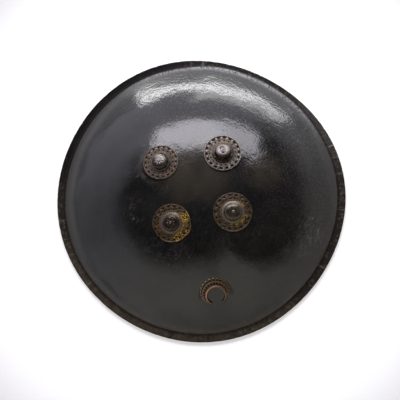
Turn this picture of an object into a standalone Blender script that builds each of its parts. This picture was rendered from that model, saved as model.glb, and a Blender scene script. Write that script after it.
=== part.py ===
"""Round hide shield, lying on its rim with the dome up: hide, four bosses, crescent and hand grips.

Metres, +Z up through the dome. The crescent is on the -Y side, its horns towards the rim. The origin is
on the surface that the shield lies on, under the middle of its outline.
"""

import math

import bmesh
import bpy
from mathutils import Matrix, Vector

GAP = 0.0003                     # between pieces that touch

# The hide: a flat-topped dome that turns up into a narrow brim.
RIM_RADIUS = 0.240
BRIM_WIDTH = 0.012
FOOT_RADIUS = RIM_RADIUS - BRIM_WIDTH
FOOT_HEIGHT = 0.0065             # outer surface where the dome meets the brim
DOME_HEIGHT = 0.095
DOME_POWER = 2.7                 # 2 is a parabola; more is flatter on top
HIDE_THICKNESS = 0.0055
HIDE_SIDES = 48
OUTER_RINGS = 8
INNER_RINGS = 6
LAST_RING_RADIUS = FOOT_RADIUS - 0.006
# Waves per turn, height, direction in degrees.
RIM_WAVES = ((2, 0.0018, -92), (3, 0.0013, -9), (4, 0.0015, 16))
CALM_RADIUS = 0.192              # inside it the hide is truly round
NARROWING = 0.0055               # how far the foot comes out where the brim is narrow
NARROW_MIDDLE = math.radians(53)
NARROW_REACH = math.radians(42)

# The bosses, nearly in a square round the top. Each has its place, then the radii of its plate, its collar
# and its cap, the cap's height, and how square the cap's shoulder is.
BOSSES = (
    ((-0.0508, 0.0522), 0.0290, 0.0162, 0.0130, 0.0112, 2.3),
    ((0.0508, 0.0492), 0.0305, 0.0171, 0.0125, 0.0118, 2.5),
    ((-0.0500, -0.0500), 0.0310, 0.0181, 0.0142, 0.0112, 2.0),
    ((0.0500, -0.0500), 0.0315, 0.0183, 0.0143, 0.0118, 2.1),
)
PLATE_THICKNESS = 0.0012
PLATE_OPENINGS = 18
OPENING_SHARE = 0.6              # of each opening's pitch round the plate
OPENING_BAND = (0.0022, 0.0056)  # where the openings start and end, in from the plate's edge
BEAD_LIFT = 0.0008
CAP_SEAT = 0.0017                # the cap's foot, over the hide
COLLAR_HEIGHT = 0.0018
COLLAR_FALL = 0.0005             # how far the collar drops to its edge
CAP_SHOULDERS = (0.45, 0.75, 0.93, 1.0)
CAP_WALL = 0.0012
CAP_SIDES = 14

# The bolt through each boss, with its eye under the hide, and the washer between.
SHANK_RADIUS = 0.0018
BOLT_HOLE_RADIUS = 0.0023
HEAD_RADIUS = 0.0026
HEAD_HEIGHT = 0.0014
WASHER_RADIUS = 0.008
WASHER_THICKNESS = 0.001
WASHER_TOP = -HIDE_THICKNESS - 0.0006
EYE_RADIUS = 0.0055
EYE_WIRE = 0.0018
EYE_DEPTH = WASHER_TOP - WASHER_THICKNESS - GAP - EYE_WIRE - EYE_RADIUS

# The rings hang in the eyes, and each grip hangs between two rings.
RING_RADIUS = 0.013
RING_WIRE = 0.002
RING_SLACK = 0.0012              # the ring's wire hangs this far below the middle of the eye
GRIP_LEAN = math.radians(24)     # the grips' ends lean in towards each other by this much
GRIP_SAG = 0.008
GRIP_RADIUS = 0.007
GRIP_END_RADIUS = 0.0042
GRIP_POINTS = 9
LOOP_RADIUS = 0.0045             # the thong at each end of a grip, round the ring's wire
LOOP_THONG = 0.0018

# The crescent: an inner circle, and an outer one whose centre is further up the dome.
CRESCENT_PLACE = 0.1725          # from the shield's axis to the inner circle's centre
CRESCENT_INNER = 0.0135
CRESCENT_OUTER = 0.0232
CRESCENT_OFFSET = 0.0076
CRESCENT_LEAN = math.radians(7)  # the thickest place is this far round towards -X
HORN_ANGLE = math.radians(148)   # from straight up the dome to each horn
BAND_WIDTH = 0.0054              # of the raised band, at its widest
BAND_TAPER = 0.0022
BAND_LEAN = math.radians(30)     # the band's widest place, likewise
BAND_LIFT = 0.0016
CRESCENT_CELLS = 14
CRESCENT_THICKNESS = 0.0013
PIN_RADIUS = 0.0015
PIN_HOLE_RADIUS = 0.0019
PIN_ANGLE = math.radians(70)
PIN_HEAD_RADIUS = 0.0028
PIN_HEAD_TOP = -HIDE_THICKNESS - 0.0019
PIN_END = PIN_HEAD_TOP - 0.0012


def smooth_step(value):
    """0 below 0, 1 above 1, and a smooth rise between."""
    value = min(max(value, 0.0), 1.0)
    return value * value * (3 - 2 * value)


# ---------------------------------------------------------------- the dome's surface

def dome_height(radius):
    """Height of the hide's outer surface at a distance from the axis."""
    rise = DOME_HEIGHT - FOOT_HEIGHT
    return FOOT_HEIGHT + rise * (1 - (radius / FOOT_RADIUS) ** DOME_POWER)


def dome_slope(radius):
    """How steeply the outer surface falls there."""
    rise = DOME_HEIGHT - FOOT_HEIGHT
    return DOME_POWER * rise / FOOT_RADIUS * (radius / FOOT_RADIUS) ** (DOME_POWER - 1)


def dome_normal(x, y):
    """Outward normal of the outer surface over a place in plan."""
    radius = math.hypot(x, y)
    slope = dome_slope(radius)
    return Vector((x / radius * slope, y / radius * slope, 1)).normalized()


def seat(x, y):
    """Frame on the dome: origin on the outer surface, Z along its normal, Y as near +Y as it can be."""
    out = dome_normal(x, y)
    across = Vector((0, 1, 0)).cross(out).normalized()
    along = out.cross(across)
    turn = Matrix((across, along, out)).transposed().to_4x4()
    return Matrix.Translation((x, y, dome_height(math.hypot(x, y)))) @ turn


def lay_on_dome(place, u, v, lift):
    """Point of the seat's plane dropped along its normal on to the dome, then raised by lift."""
    low = -0.02
    high = 0.002
    for _ in range(24):
        middle = (low + high) / 2
        point = place @ Vector((u, v, middle))
        if point.z > dome_height(math.hypot(point.x, point.y)):
            high = middle
        else:
            low = middle
    return point + dome_normal(point.x, point.y) * lift


# ---------------------------------------------------------------- helpers

def new_collection(name):
    collection = bpy.data.collections.new(name)
    bpy.context.scene.collection.children.link(collection)
    return collection


def add_object(name, mesh, collection, place=None):
    piece = bpy.data.objects.new(name, mesh)
    if place is not None:
        piece.matrix_world = place
    collection.objects.link(piece)
    return piece


def turned(name, outline, sides, collection, closed=False, place=None):
    """Solid of revolution. The outline is (radius, height) points, down its outer side."""
    mesh = bpy.data.meshes.new(name)
    points = [(radius, 0, height) for radius, height in outline]
    edges = [(i, i + 1) for i in range(len(points) - 1)]
    if closed:
        edges.append((len(points) - 1, 0))
    mesh.from_pydata(points, edges, [])
    piece = add_object(name, mesh, collection, place)
    screw = piece.modifiers.new("turn", "SCREW")
    screw.axis = "Z"
    screw.steps = sides
    screw.render_steps = sides
    screw.use_merge_vertices = True
    screw.merge_threshold = 0.00001
    return piece


def make_mesh(piece):
    """Turns a piece's modifiers, or its curve, into plain faces."""
    graph = bpy.context.evaluated_depsgraph_get()
    mesh = bpy.data.meshes.new_from_object(piece.evaluated_get(graph))
    solid = add_object("solid", mesh, piece.users_collection[0], piece.matrix_world)
    name = piece.name
    bpy.data.objects.remove(piece)
    solid.name = name
    return solid


def hide_helper(piece):
    piece.hide_render = True
    piece.display_type = "WIRE"


def combine(piece, other, operation):
    """Boolean of a piece with a helper, which stays out of the model."""
    hide_helper(other)
    boolean = piece.modifiers.new(other.name, "BOOLEAN")
    boolean.operation = operation
    boolean.solver = "EXACT"
    boolean.object = other


def paint(piece, name, colour, roughness, metallic):
    """Gives a piece its own Principled material."""
    material = bpy.data.materials.new(name)
    material.use_nodes = True
    shader = material.node_tree.nodes["Principled BSDF"]
    shader.inputs["Base Color"].default_value = (*colour, 1)
    shader.inputs["Roughness"].default_value = roughness
    shader.inputs["Metallic"].default_value = metallic
    material.diffuse_color = (*colour, 1)
    piece.data.materials.clear()
    piece.data.materials.append(material)


def pierced_sheet(name, columns, rows, place_point, is_hole, closed, thickness, collection):
    """Sheet of metal laid on the dome from a grid wrapped round a centre.

    place_point(column, row) gives a grid corner's place. Row 0 is the outer edge.
    """
    sheet = bmesh.new()
    bmesh.ops.create_grid(sheet, x_segments=columns, y_segments=rows, size=0.5)
    holes = []
    for face in sheet.faces:
        middle = face.calc_center_median()
        column = int((middle.x + 0.5) * columns)
        row = int((middle.y + 0.5) * rows)
        if is_hole(column, row):
            holes.append(face)
    for corner in sheet.verts:
        column = round((corner.co.x + 0.5) * columns)
        row = round((corner.co.y + 0.5) * rows)
        corner.co = place_point(column, row)
    bmesh.ops.delete(sheet, geom=holes, context="FACES")
    if closed:
        bmesh.ops.remove_doubles(sheet, verts=sheet.verts, dist=0.00001)
    mesh = bpy.data.meshes.new(name)
    sheet.to_mesh(mesh)
    sheet.free()
    piece = add_object(name, mesh, collection)
    solidify = piece.modifiers.new("thickness", "SOLIDIFY")
    solidify.thickness = thickness
    solidify.offset = 1
    return piece


# ---------------------------------------------------------------- the hide

def rim_shift(radius, angle):
    """How far the hide moves out from true round: the rim's waves, and the foot at the narrow brim."""
    waves = sum(height * math.cos(count * angle - math.radians(way)) for count, height, way in RIM_WAVES)
    turn = (angle - NARROW_MIDDLE + math.pi) % (2 * math.pi) - math.pi
    narrow = NARROWING * smooth_step(1.6 * (1 - abs(turn) / NARROW_REACH))
    near_rim = smooth_step((radius - CALM_RADIUS) / (FOOT_RADIUS - CALM_RADIUS))
    over_brim = min(max((radius - FOOT_RADIUS) / BRIM_WIDTH, 0.0), 1.0)
    return near_rim * (waves + narrow * (1 - over_brim))


def hide_section():
    """Section of the hide: from the top of the dome, down outside, round the brim and up the inner side."""
    outer = []
    for ring in range(OUTER_RINGS + 1):
        radius = LAST_RING_RADIUS * ring / OUTER_RINGS
        outer.append((radius, dome_height(radius)))
    brim_steps = (
        (-0.0018, 0.0085), (0.0012, 0.0067), (0.0080, 0.0074), (0.0108, 0.0081), (0.0120, 0.0064),
        (0.0110, 0.0040), (0.0040, 0.0), (-0.0036, 0.0), (-0.0054, 0.0022),
    )
    brim = [(FOOT_RADIUS + step, height) for step, height in brim_steps]
    inner = []
    for ring in range(INNER_RINGS, -1, -1):
        radius = LAST_RING_RADIUS * ring / INNER_RINGS
        fall = math.atan(dome_slope(radius))
        inner.append((
            radius - HIDE_THICKNESS * math.sin(fall),
            dome_height(radius) - HIDE_THICKNESS * math.cos(fall),
        ))
    return outer + brim + inner


def build_hide(parts, cutters, seats, pins):
    hide = make_mesh(turned("hide_shell", hide_section(), HIDE_SIDES, parts))
    for corner in hide.data.vertices:
        radius = math.hypot(corner.co.x, corner.co.y)
        if radius > CALM_RADIUS:
            angle = math.atan2(corner.co.y, corner.co.x)
            grown = 1 + rim_shift(radius, angle) / radius
            corner.co.x *= grown
            corner.co.y *= grown
    holes = [(place, BOLT_HOLE_RADIUS) for place in seats] + [(place, PIN_HOLE_RADIUS) for place in pins]
    for number, (place, radius) in enumerate(holes, 1):
        outline = ((0, 0.004), (radius, 0.004), (radius, -0.011), (0, -0.011))
        cutter = turned(f"hole_{number}", outline, 8, cutters, place=place)
        combine(hide, cutter, "DIFFERENCE")
    paint(hide, "black_lacquered_hide", (0.012, 0.011, 0.011), 0.3, 0.0)
    return hide


# ---------------------------------------------------------------- the bosses

def build_plate(number, place, plate_radius, parts):
    """Pierced round plate with a raised bead round its edge."""
    band_start, band_end = OPENING_BAND
    radii = (
        plate_radius, plate_radius - band_start / 2, plate_radius - band_start, plate_radius - band_end,
        BOLT_HOLE_RADIUS,
    )
    lifts = (0.0, BEAD_LIFT, 0.0, 0.0, 0.0)
    columns = 2 * PLATE_OPENINGS
    opening_row = 2
    half_opening = OPENING_SHARE * math.pi / PLATE_OPENINGS

    def place_point(column, row):
        middle = 2 * math.pi / PLATE_OPENINGS * (column // 2)
        angle = middle + (half_opening if column % 2 else -half_opening)
        u = radii[row] * math.cos(angle)
        v = radii[row] * math.sin(angle)
        return lay_on_dome(place, u, v, GAP + lifts[row])

    def is_hole(column, row):
        return row == opening_row and column % 2 == 0

    name = f"boss_plate_{number}"
    rows = len(radii) - 1
    plate = pierced_sheet(name, columns, rows, place_point, is_hole, True, PLATE_THICKNESS, parts)
    paint(plate, f"bronze_{name}", (0.075, 0.052, 0.036), 0.6, 0.8)


def dome_curve(radius, cap_radius, cap_height, squareness):
    """Height of the cap's dome over its collar: a rounded curve that is squarer with a higher power."""
    return cap_height * (1 - (radius / cap_radius) ** squareness) ** (1 / squareness)


def build_cap(number, place, collar_radius, cap_radius, cap_height, squareness, parts):
    """Hollow domed cap on a low collar, open below, with a hole on top for the bolt."""
    base = CAP_SEAT + COLLAR_HEIGHT
    top = cap_height - base
    outer = [(BOLT_HOLE_RADIUS, cap_height)]
    for share in CAP_SHOULDERS:
        radius = cap_radius * share
        outer.append((radius, base + dome_curve(radius, cap_radius, top, squareness)))
    collar = [(collar_radius, base - COLLAR_FALL), (collar_radius, CAP_SEAT)]
    inner_radius = cap_radius - CAP_WALL
    shoulder = 0.7 * inner_radius
    inner = [
        (inner_radius, CAP_SEAT),
        (shoulder, base + dome_curve(shoulder, inner_radius, top - CAP_WALL, squareness)),
        (BOLT_HOLE_RADIUS, cap_height - CAP_WALL),
    ]
    name = f"boss_cap_{number}"
    cap = turned(name, outer + collar + inner, CAP_SIDES, parts, closed=True, place=place)
    paint(cap, f"iron_{name}", (0.06, 0.055, 0.052), 0.5, 0.85)


def build_bolt(number, place, cap_height, end_way, parts, cutters):
    """Bolt with a round head on the cap and an eye under the hide, the eye's plane along end_way."""
    head = cap_height + GAP
    outline = (
        (0, head + HEAD_HEIGHT), (0.6 * HEAD_RADIUS, head + 0.85 * HEAD_HEIGHT), (HEAD_RADIUS, head),
        (SHANK_RADIUS, head), (SHANK_RADIUS, EYE_DEPTH + EYE_RADIUS), (0, EYE_DEPTH + EYE_RADIUS),
    )
    name = f"boss_bolt_{number}"
    bolt = turned(name, outline, 8, parts, place=place)
    eye_axis = place.to_3x3().inverted() @ end_way.cross(place.col[2].to_3d())
    turn = Vector((0, 0, 1)).rotation_difference(eye_axis.normalized()).to_matrix().to_4x4()
    eye = add_torus(f"eye_{number}", EYE_RADIUS, EYE_WIRE, 10, 5, cutters)
    eye.matrix_world = place @ Matrix.Translation((0, 0, EYE_DEPTH)) @ turn
    combine(bolt, eye, "UNION")
    paint(bolt, f"iron_{name}", (0.05, 0.046, 0.043), 0.5, 0.9)


def build_washer(number, place, parts):
    bottom = WASHER_TOP - WASHER_THICKNESS
    outline = (
        (BOLT_HOLE_RADIUS, WASHER_TOP), (WASHER_RADIUS, WASHER_TOP),
        (WASHER_RADIUS, bottom), (BOLT_HOLE_RADIUS, bottom),
    )
    name = f"boss_washer_{number}"
    washer = turned(name, outline, 8, parts, closed=True, place=place)
    paint(washer, f"iron_{name}", (0.05, 0.046, 0.043), 0.6, 0.9)


# ---------------------------------------------------------------- rings and grips

def add_torus(name, radius, wire, sides, wire_sides, collection):
    bpy.ops.mesh.primitive_torus_add(
        major_radius=radius, minor_radius=wire, major_segments=sides, minor_segments=wire_sides)
    torus = bpy.context.object
    torus.name = name
    for home in list(torus.users_collection):
        home.objects.unlink(torus)
    collection.objects.link(torus)
    return torus


def facing(centre, axis):
    """Placement with Z turned to a level axis."""
    turn = Vector((0, 0, 1)).rotation_difference(axis).to_matrix().to_4x4()
    return Matrix.Translation(centre) @ turn


def eye_centre(place):
    return place @ Vector((0, 0, EYE_DEPTH))


def end_way(place):
    """Level direction in which a grip leaves the ring under a boss: along Y and in towards the other grip."""
    side = math.copysign(1, place.translation.x)
    end = math.copysign(1, place.translation.y)
    return Vector((-side * math.sin(GRIP_LEAN), -end * math.cos(GRIP_LEAN), 0))


def ring_low_point(place):
    """Middle of the ring's wire where it hangs lowest."""
    return eye_centre(place) - Vector((0, 0, RING_SLACK + 2 * RING_RADIUS))


def build_ring(number, place, way, parts):
    name = f"grip_ring_{number}"
    ring = add_torus(name, RING_RADIUS, RING_WIRE, 14, 5, parts)
    centre = eye_centre(place) - Vector((0, 0, RING_SLACK + RING_RADIUS))
    ring.matrix_world = facing(centre, way)
    paint(ring, f"iron_{name}", (0.05, 0.046, 0.043), 0.55, 0.9)


def build_grip(name, upper, lower, parts, cutters):
    """Leather-wrapped grip, thickest in its middle, with a thong loop round the ring at each end."""
    start = ring_low_point(upper) + end_way(upper) * (LOOP_RADIUS + GAP)
    end = ring_low_point(lower) + end_way(lower) * (LOOP_RADIUS + GAP)
    half = (start - end) / 2
    mean = (start + end) / 2
    inward = -math.copysign(half.y * math.tan(GRIP_LEAN) / 2, start.x)
    middle = mean + Vector((inward, 0, -GRIP_SAG))
    curve = bpy.data.curves.new(name, "CURVE")
    curve.dimensions = "3D"
    curve.bevel_depth = GRIP_RADIUS
    curve.bevel_resolution = 2
    curve.use_fill_caps = True
    spline = curve.splines.new("POLY")
    spline.points.add(GRIP_POINTS - 1)
    for number, point in enumerate(spline.points):
        share = 1 - 2 * number / (GRIP_POINTS - 1)
        centre = middle + half * share + (mean - middle) * share ** 2
        point.co = (*centre, 1)
        point.radius = 1 - (1 - GRIP_END_RADIUS / GRIP_RADIUS) * share ** 2
    grip = make_mesh(add_object(name, curve, parts))
    weld = bmesh.new()
    weld.from_mesh(grip.data)
    bmesh.ops.remove_doubles(weld, verts=weld.verts, dist=0.00001)
    weld.to_mesh(grip.data)
    weld.free()
    for number, place in enumerate((upper, lower), 1):
        loop = add_torus(f"{name}_loop_{number}", LOOP_RADIUS, LOOP_THONG, 10, 5, cutters)
        loop.matrix_world = facing(ring_low_point(place), end_way(place).cross(Vector((0, 0, 1))))
        combine(grip, loop, "UNION")
    paint(grip, f"leather_{name}", (0.09, 0.05, 0.03), 0.7, 0.0)


# ---------------------------------------------------------------- the crescent

def crescent_radius(angle):
    """Outer edge's distance from the inner circle's centre, at an angle from straight up the dome."""
    turn = angle - CRESCENT_LEAN
    across = CRESCENT_OFFSET * math.sin(turn)
    return CRESCENT_OFFSET * math.cos(turn) + math.sqrt(CRESCENT_OUTER ** 2 - across ** 2)


def band_radius(angle):
    """Outer edge of the raised band."""
    return CRESCENT_INNER + BAND_WIDTH - BAND_TAPER * (1 - math.cos(angle - BAND_LEAN)) / 2


def build_crescent(place, pins, parts, cutters):
    """Crescent with a raised smooth band along its inner edge and a pierced fringe outside it."""
    plain_columns = 2
    columns = 2 * CRESCENT_CELLS + 2 * plain_columns
    shares = (1.0, 0.72, 0.28, 0.0)       # rows across the fringe, then the band's crest and its inner edge
    crest_row = len(shares)
    hole_row = 1
    pierced_from = 0.004                  # no openings where the fringe is narrower

    def column_angle(column):
        cell = (2 * HORN_ANGLE) / (CRESCENT_CELLS + plain_columns)
        place_in_cell = 0.22 if column % 2 else -0.22
        if column in (0, columns):
            place_in_cell = 0
        return -HORN_ANGLE + cell * (column / 2 + place_in_cell * 0.5)

    def place_point(column, row):
        angle = column_angle(column)
        band = band_radius(angle)
        fringe = max(crescent_radius(angle) - band, 0.0004)
        lift = 0.0
        if row < crest_row:
            radius = band + fringe * shares[row]
        elif row == crest_row:
            radius = (band + CRESCENT_INNER) / 2
            lift = BAND_LIFT
        else:
            radius = CRESCENT_INNER
        u = -radius * math.sin(angle)
        v = radius * math.cos(angle)
        return lay_on_dome(place, u, v, GAP + lift)

    def is_hole(column, row):
        angle = (column_angle(column) + column_angle(column + 1)) / 2
        wide = crescent_radius(angle) - band_radius(angle) > pierced_from
        return row == hole_row and column % 2 == 1 and wide

    rows = crest_row + 1
    crescent = pierced_sheet(
        "crescent", columns, rows, place_point, is_hole, False, CRESCENT_THICKNESS, parts)
    top = GAP + BAND_LIFT + CRESCENT_THICKNESS / 2
    outline = (
        (0, top), (PIN_RADIUS, top), (PIN_RADIUS, PIN_HEAD_TOP), (PIN_HEAD_RADIUS, PIN_HEAD_TOP),
        (0.7 * PIN_HEAD_RADIUS, PIN_END), (0, PIN_END),
    )
    for number, pin_place in enumerate(pins, 1):
        pin = turned(f"crescent_pin_{number}", outline, 8, cutters, place=pin_place)
        combine(crescent, pin, "UNION")
    paint(crescent, "copper_crescent", (0.16, 0.085, 0.055), 0.5, 0.85)


def pin_seats(place):
    """Placements of the crescent's two pins, parallel to each other."""
    radius = CRESCENT_INNER + 0.45 * BAND_WIDTH
    seats = []
    for side in (-1, 1):
        ground = lay_on_dome(place, side * radius * math.sin(PIN_ANGLE), radius * math.cos(PIN_ANGLE), 0)
        seats.append(Matrix.Translation(ground) @ place.to_3x3().to_4x4())
    return seats


# ---------------------------------------------------------------- the whole shield

def gather(hide):
    """Parents every piece to one empty, set so that the outline's middle is at the origin."""
    xs = [corner.co.x for corner in hide.data.vertices]
    ys = [corner.co.y for corner in hide.data.vertices]
    shield = bpy.data.objects.new("shield", None)
    bpy.context.scene.collection.objects.link(shield)
    bpy.context.view_layer.update()
    for piece in list(bpy.data.objects):
        if piece is not shield:
            piece.parent = shield
    shield.location = (-(min(xs) + max(xs)) / 2, -(min(ys) + max(ys)) / 2, 0)


def build_shield():
    for leftover in list(bpy.data.objects):
        bpy.data.objects.remove(leftover)
    parts = new_collection("leather_shield")
    cutters = new_collection("cutters")

    seats = [seat(x, y) for (x, y), *_ in BOSSES]
    crescent_place = seat(0, -CRESCENT_PLACE)
    pins = pin_seats(crescent_place)

    hide = build_hide(parts, cutters, seats, pins)
    for number, (boss, place) in enumerate(zip(BOSSES, seats), 1):
        _, plate_radius, collar_radius, cap_radius, cap_height, squareness = boss
        build_plate(number, place, plate_radius, parts)
        build_cap(number, place, collar_radius, cap_radius, cap_height, squareness, parts)
        build_bolt(number, place, cap_height, end_way(place), parts, cutters)
        build_washer(number, place, parts)
        build_ring(number, place, end_way(place), parts)
    build_grip("grip_left", seats[0], seats[2], parts, cutters)
    build_grip("grip_right", seats[1], seats[3], parts, cutters)
    build_crescent(crescent_place, pins, parts, cutters)
    gather(hide)


build_shield()
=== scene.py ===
"""Looks of the round hide shield: lacquered hide, pierced bosses, crescent and grips, on a pale floor."""

from functools import reduce
from math import atan, atan2, copysign, cos, dist, hypot, pi, radians, sin, sqrt, tan

import bmesh
import bpy
from mathutils import Matrix, Vector, noise


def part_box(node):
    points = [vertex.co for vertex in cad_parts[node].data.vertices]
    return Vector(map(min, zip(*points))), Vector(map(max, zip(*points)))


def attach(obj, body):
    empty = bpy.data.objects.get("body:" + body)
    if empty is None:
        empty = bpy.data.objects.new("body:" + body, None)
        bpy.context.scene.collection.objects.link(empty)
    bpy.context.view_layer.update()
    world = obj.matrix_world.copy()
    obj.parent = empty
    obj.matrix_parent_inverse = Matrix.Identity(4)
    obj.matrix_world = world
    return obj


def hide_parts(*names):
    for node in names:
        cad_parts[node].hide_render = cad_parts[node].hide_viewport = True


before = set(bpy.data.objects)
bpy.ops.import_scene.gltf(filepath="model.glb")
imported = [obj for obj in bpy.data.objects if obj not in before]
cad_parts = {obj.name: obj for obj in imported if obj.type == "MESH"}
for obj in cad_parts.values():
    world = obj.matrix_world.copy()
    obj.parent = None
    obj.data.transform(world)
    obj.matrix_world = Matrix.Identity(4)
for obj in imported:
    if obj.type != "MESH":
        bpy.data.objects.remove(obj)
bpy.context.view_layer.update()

MM = 0.001

# The hide, as the frame's solids have it.
RIM_RADIUS = 0.240
BRIM_WIDTH = 0.012
FOOT_RADIUS = RIM_RADIUS - BRIM_WIDTH
FOOT_HEIGHT = 0.0065
DOME_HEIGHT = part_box("hide_shell")[1].z
DOME_POWER = 2.7
HIDE_THICKNESS = 0.0055
RIM_WAVES = ((2, 0.0018, -92), (3, 0.0013, -9), (4, 0.0015, 16))   # per turn, height, direction in degrees
CALM_RADIUS = 0.192
NARROWING = 0.0038
NARROW_MIDDLE = radians(53)
NARROW_REACH = radians(42)

# Bosses, bolts, rings and grips.
BOSS_PLACES = ((-0.0508, 0.0522), (0.0508, 0.0492), (-0.050, -0.050), (0.050, -0.050))
PLATE_RADII = (0.0290, 0.0305, 0.0310, 0.0315)
CAP_HEIGHTS = (0.0112, 0.0118, 0.0112, 0.0118)
CAP_SEAT = 0.0017
GAP = 0.0003
PLATE_THICKNESS = 0.0012
SECTORS = 18
SHANK_RADIUS = 0.0018
BOLT_HOLE_RADIUS = 0.0023
HEAD_HEIGHT = 0.0014
WASHER_RADIUS = 0.008
WASHER_THICKNESS = 0.001
WASHER_TOP = -HIDE_THICKNESS - 0.0006
EYE_RADIUS = 0.0055
EYE_WIRE = 0.0018
EYE_DEPTH = WASHER_TOP - WASHER_THICKNESS - GAP - EYE_WIRE - EYE_RADIUS
RING_RADIUS = 0.013
RING_WIRE = 0.002
GRIP_LEAN = radians(24)
GRIP_SAG = 0.008
GRIP_RADIUS = 0.007
GRIP_END_RADIUS = 0.0042
LOOP_RADIUS = 0.0045
LOOP_THONG = 0.0018

# Crescent. Angles go round its inner circle, from straight up the dome towards -X.
CRESCENT_PLACE = (0, -0.1725)
CRESCENT_INNER = 0.0135
CRESCENT_OUTER = 0.0232
CRESCENT_OFFSET = 0.0076
CRESCENT_LEAN = radians(7)
HORN_ANGLE = radians(148)
BAND_WIDTH = 0.0045
BAND_TAPER = 0.0018
BAND_LEAN = radians(30)
BAND_LIFT = 0.0016
CRESCENT_THICKNESS = 0.0013
CRESCENT_CELLS = 23
CRESCENT_REACH = 0.026
SOFT_EDGE = 0.00015                   # width of the bevel on the edges of sheet metal


def box_middle(node):
    low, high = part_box(node)
    return (low + high) / 2


def shield_axis():
    """Where the dome's axis stands, from the washers under the four bosses."""
    total = Vector()
    for number, (x, y) in enumerate(BOSS_PLACES, 1):
        total += box_middle(f"boss_washer_{number}") - Vector((x, y, 0))
    return Vector((total.x / 4, total.y / 4, 0))


AXIS = shield_axis()


# ---------------------------------------------------------------- shapes

def clamp(value):
    return min(max(value, 0.0), 1.0)


def smooth_step(value):
    value = clamp(value)
    return value * value * (3 - 2 * value)


def hump(value, middle, reach):
    """1 at the middle, falling smoothly to 0 at a distance of reach."""
    return smooth_step(1 - abs(value - middle) / reach)


def turn_between(angle, middle):
    """Signed angle from middle to angle, within half a turn."""
    return (angle - middle + pi) % (2 * pi) - pi


def sector(angle, middle, reach):
    """Hump round a direction. The middle and the reach are in degrees."""
    return hump(turn_between(angle, radians(middle)), 0, radians(reach))


def polar(radius, angle):
    return radius * cos(angle), radius * sin(angle)


def dome_height(radius):
    return FOOT_HEIGHT + (DOME_HEIGHT - FOOT_HEIGHT) * (1 - (radius / FOOT_RADIUS) ** DOME_POWER)


def dome_slope(radius):
    rise = DOME_HEIGHT - FOOT_HEIGHT
    return DOME_POWER * rise / FOOT_RADIUS * (radius / FOOT_RADIUS) ** (DOME_POWER - 1)


def dome_normal(x, y):
    """Normal of the hide at a place measured from the dome's axis."""
    radius = max(hypot(x, y), 1e-6)
    slope = dome_slope(radius)
    return Vector((x / radius * slope, y / radius * slope, 1)).normalized()


def on_dome(x, y):
    """Point of the hide's outer side, measured from the foot of the dome's axis."""
    return Vector((x, y, dome_height(hypot(x, y))))


def seat(x, y):
    """Frame on the dome, Z along its normal and Y as near +Y as it can be."""
    out = dome_normal(x, y)
    across = Vector((0, 1, 0)).cross(out).normalized()
    along = out.cross(across)
    turn = Matrix((across, along, out)).transposed().to_4x4()
    return Matrix.Translation(AXIS + on_dome(x, y)) @ turn


def boss_seat(number):
    return seat(*BOSS_PLACES[number - 1])


def lay_on_dome(place, u, v, lift):
    """Point of a seat's plane dropped along its normal on to the dome, then raised by lift."""
    low = -0.02
    high = 0.002
    for _ in range(20):
        middle = (low + high) / 2
        point = place @ Vector((u, v, middle)) - AXIS
        if point.z > dome_height(hypot(point.x, point.y)):
            high = middle
        else:
            low = middle
    return AXIS + point + dome_normal(point.x, point.y) * lift


def through(points, steps):
    """Smooth curve through points of a section, with some steps between each two."""
    curve = []
    last = len(points) - 1
    for i in range(last):
        before, start = points[max(i - 1, 0)], points[i]
        end, after = points[i + 1], points[min(i + 2, last)]
        for step in range(steps):
            t = step / steps
            curve.append(tuple(
                0.5 * (2 * b + (c - a) * t + (2 * a - 5 * b + 4 * c - d) * t * t
                       + (3 * b - a - 3 * c + d) * t ** 3)
                for a, b, c, d in zip(before, start, end, after)))
    curve.append(points[last])
    return curve


def round_opening(steps, cell, hole, grid, edge, powers=(2, 2)):
    """Place of a corner of a cell, bent round the opening in the cell's middle.

    steps are the columns and rows from the middle to the corner. cell and hole are half the columns and rows
    of the cell and of its opening. grid is the corner's place before it is bent. edge is half the opening's
    width and depth, and powers say how square it is on its inner side and on its outer one.
    """
    i, j = steps[0] / hole[0], steps[1] / hole[1]
    if not (i or j):
        return grid
    way = atan2(j, i)
    power = powers[j > 0]
    reach = (abs(cos(way)) ** power + abs(sin(way)) ** power) ** (-1 / power)
    share = clamp(max((abs(i) - 1) / (cell[0] / hole[0] - 1), (abs(j) - 1) / (cell[1] / hole[1] - 1)))
    bent_u, bent_v = edge[0] * cos(way) * reach, edge[1] * sin(way) * reach
    return bent_u + (grid[0] - bent_u) * share, bent_v + (grid[1] - bent_v) * share


# ---------------------------------------------------------------- mesh tools

def put(name, data):
    """Object in the scene, from its data."""
    made = bpy.data.objects.new(name, data)
    bpy.context.scene.collection.objects.link(made)
    return made


def new_piece(node, work, finish, name=None):
    """Object from a bmesh: rides on the shield's body, in place of a node of the frame."""
    name = name or f"{node}_work"
    mesh = bpy.data.meshes.new(name)
    work.to_mesh(mesh)
    work.free()
    mesh.shade_smooth()
    mesh.materials.append(finish)
    piece = put(name, mesh)
    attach(piece, "root")
    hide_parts(node)
    return piece


def spun(points, sides, closed=False):
    """Turned shape from a section of (radius, height) points, or of (radius, height, mark) points.

    The marks are kept on the vertices, to tell later where along the section each one is.
    """
    work = bmesh.new()
    marks = work.verts.layers.float.new("mark")
    row = []
    for radius, height, *mark in points:
        corner = work.verts.new((radius, 0, height))
        corner[marks] = mark[0] if mark else 0.0
        row.append(corner)
    edges = [work.edges.new(pair) for pair in zip(row, row[1:])]
    if closed:
        edges.append(work.edges.new((row[-1], row[0])))
    bmesh.ops.spin(
        work, geom=row + edges, cent=(0, 0, 0), axis=(0, 0, 1), dvec=(0, 0, 0),
        angle=2 * pi, steps=sides, use_merge=True, use_duplicate=False)
    bmesh.ops.remove_doubles(work, verts=work.verts, dist=1e-7)
    bmesh.ops.recalc_face_normals(work, faces=work.faces)
    return work


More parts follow.
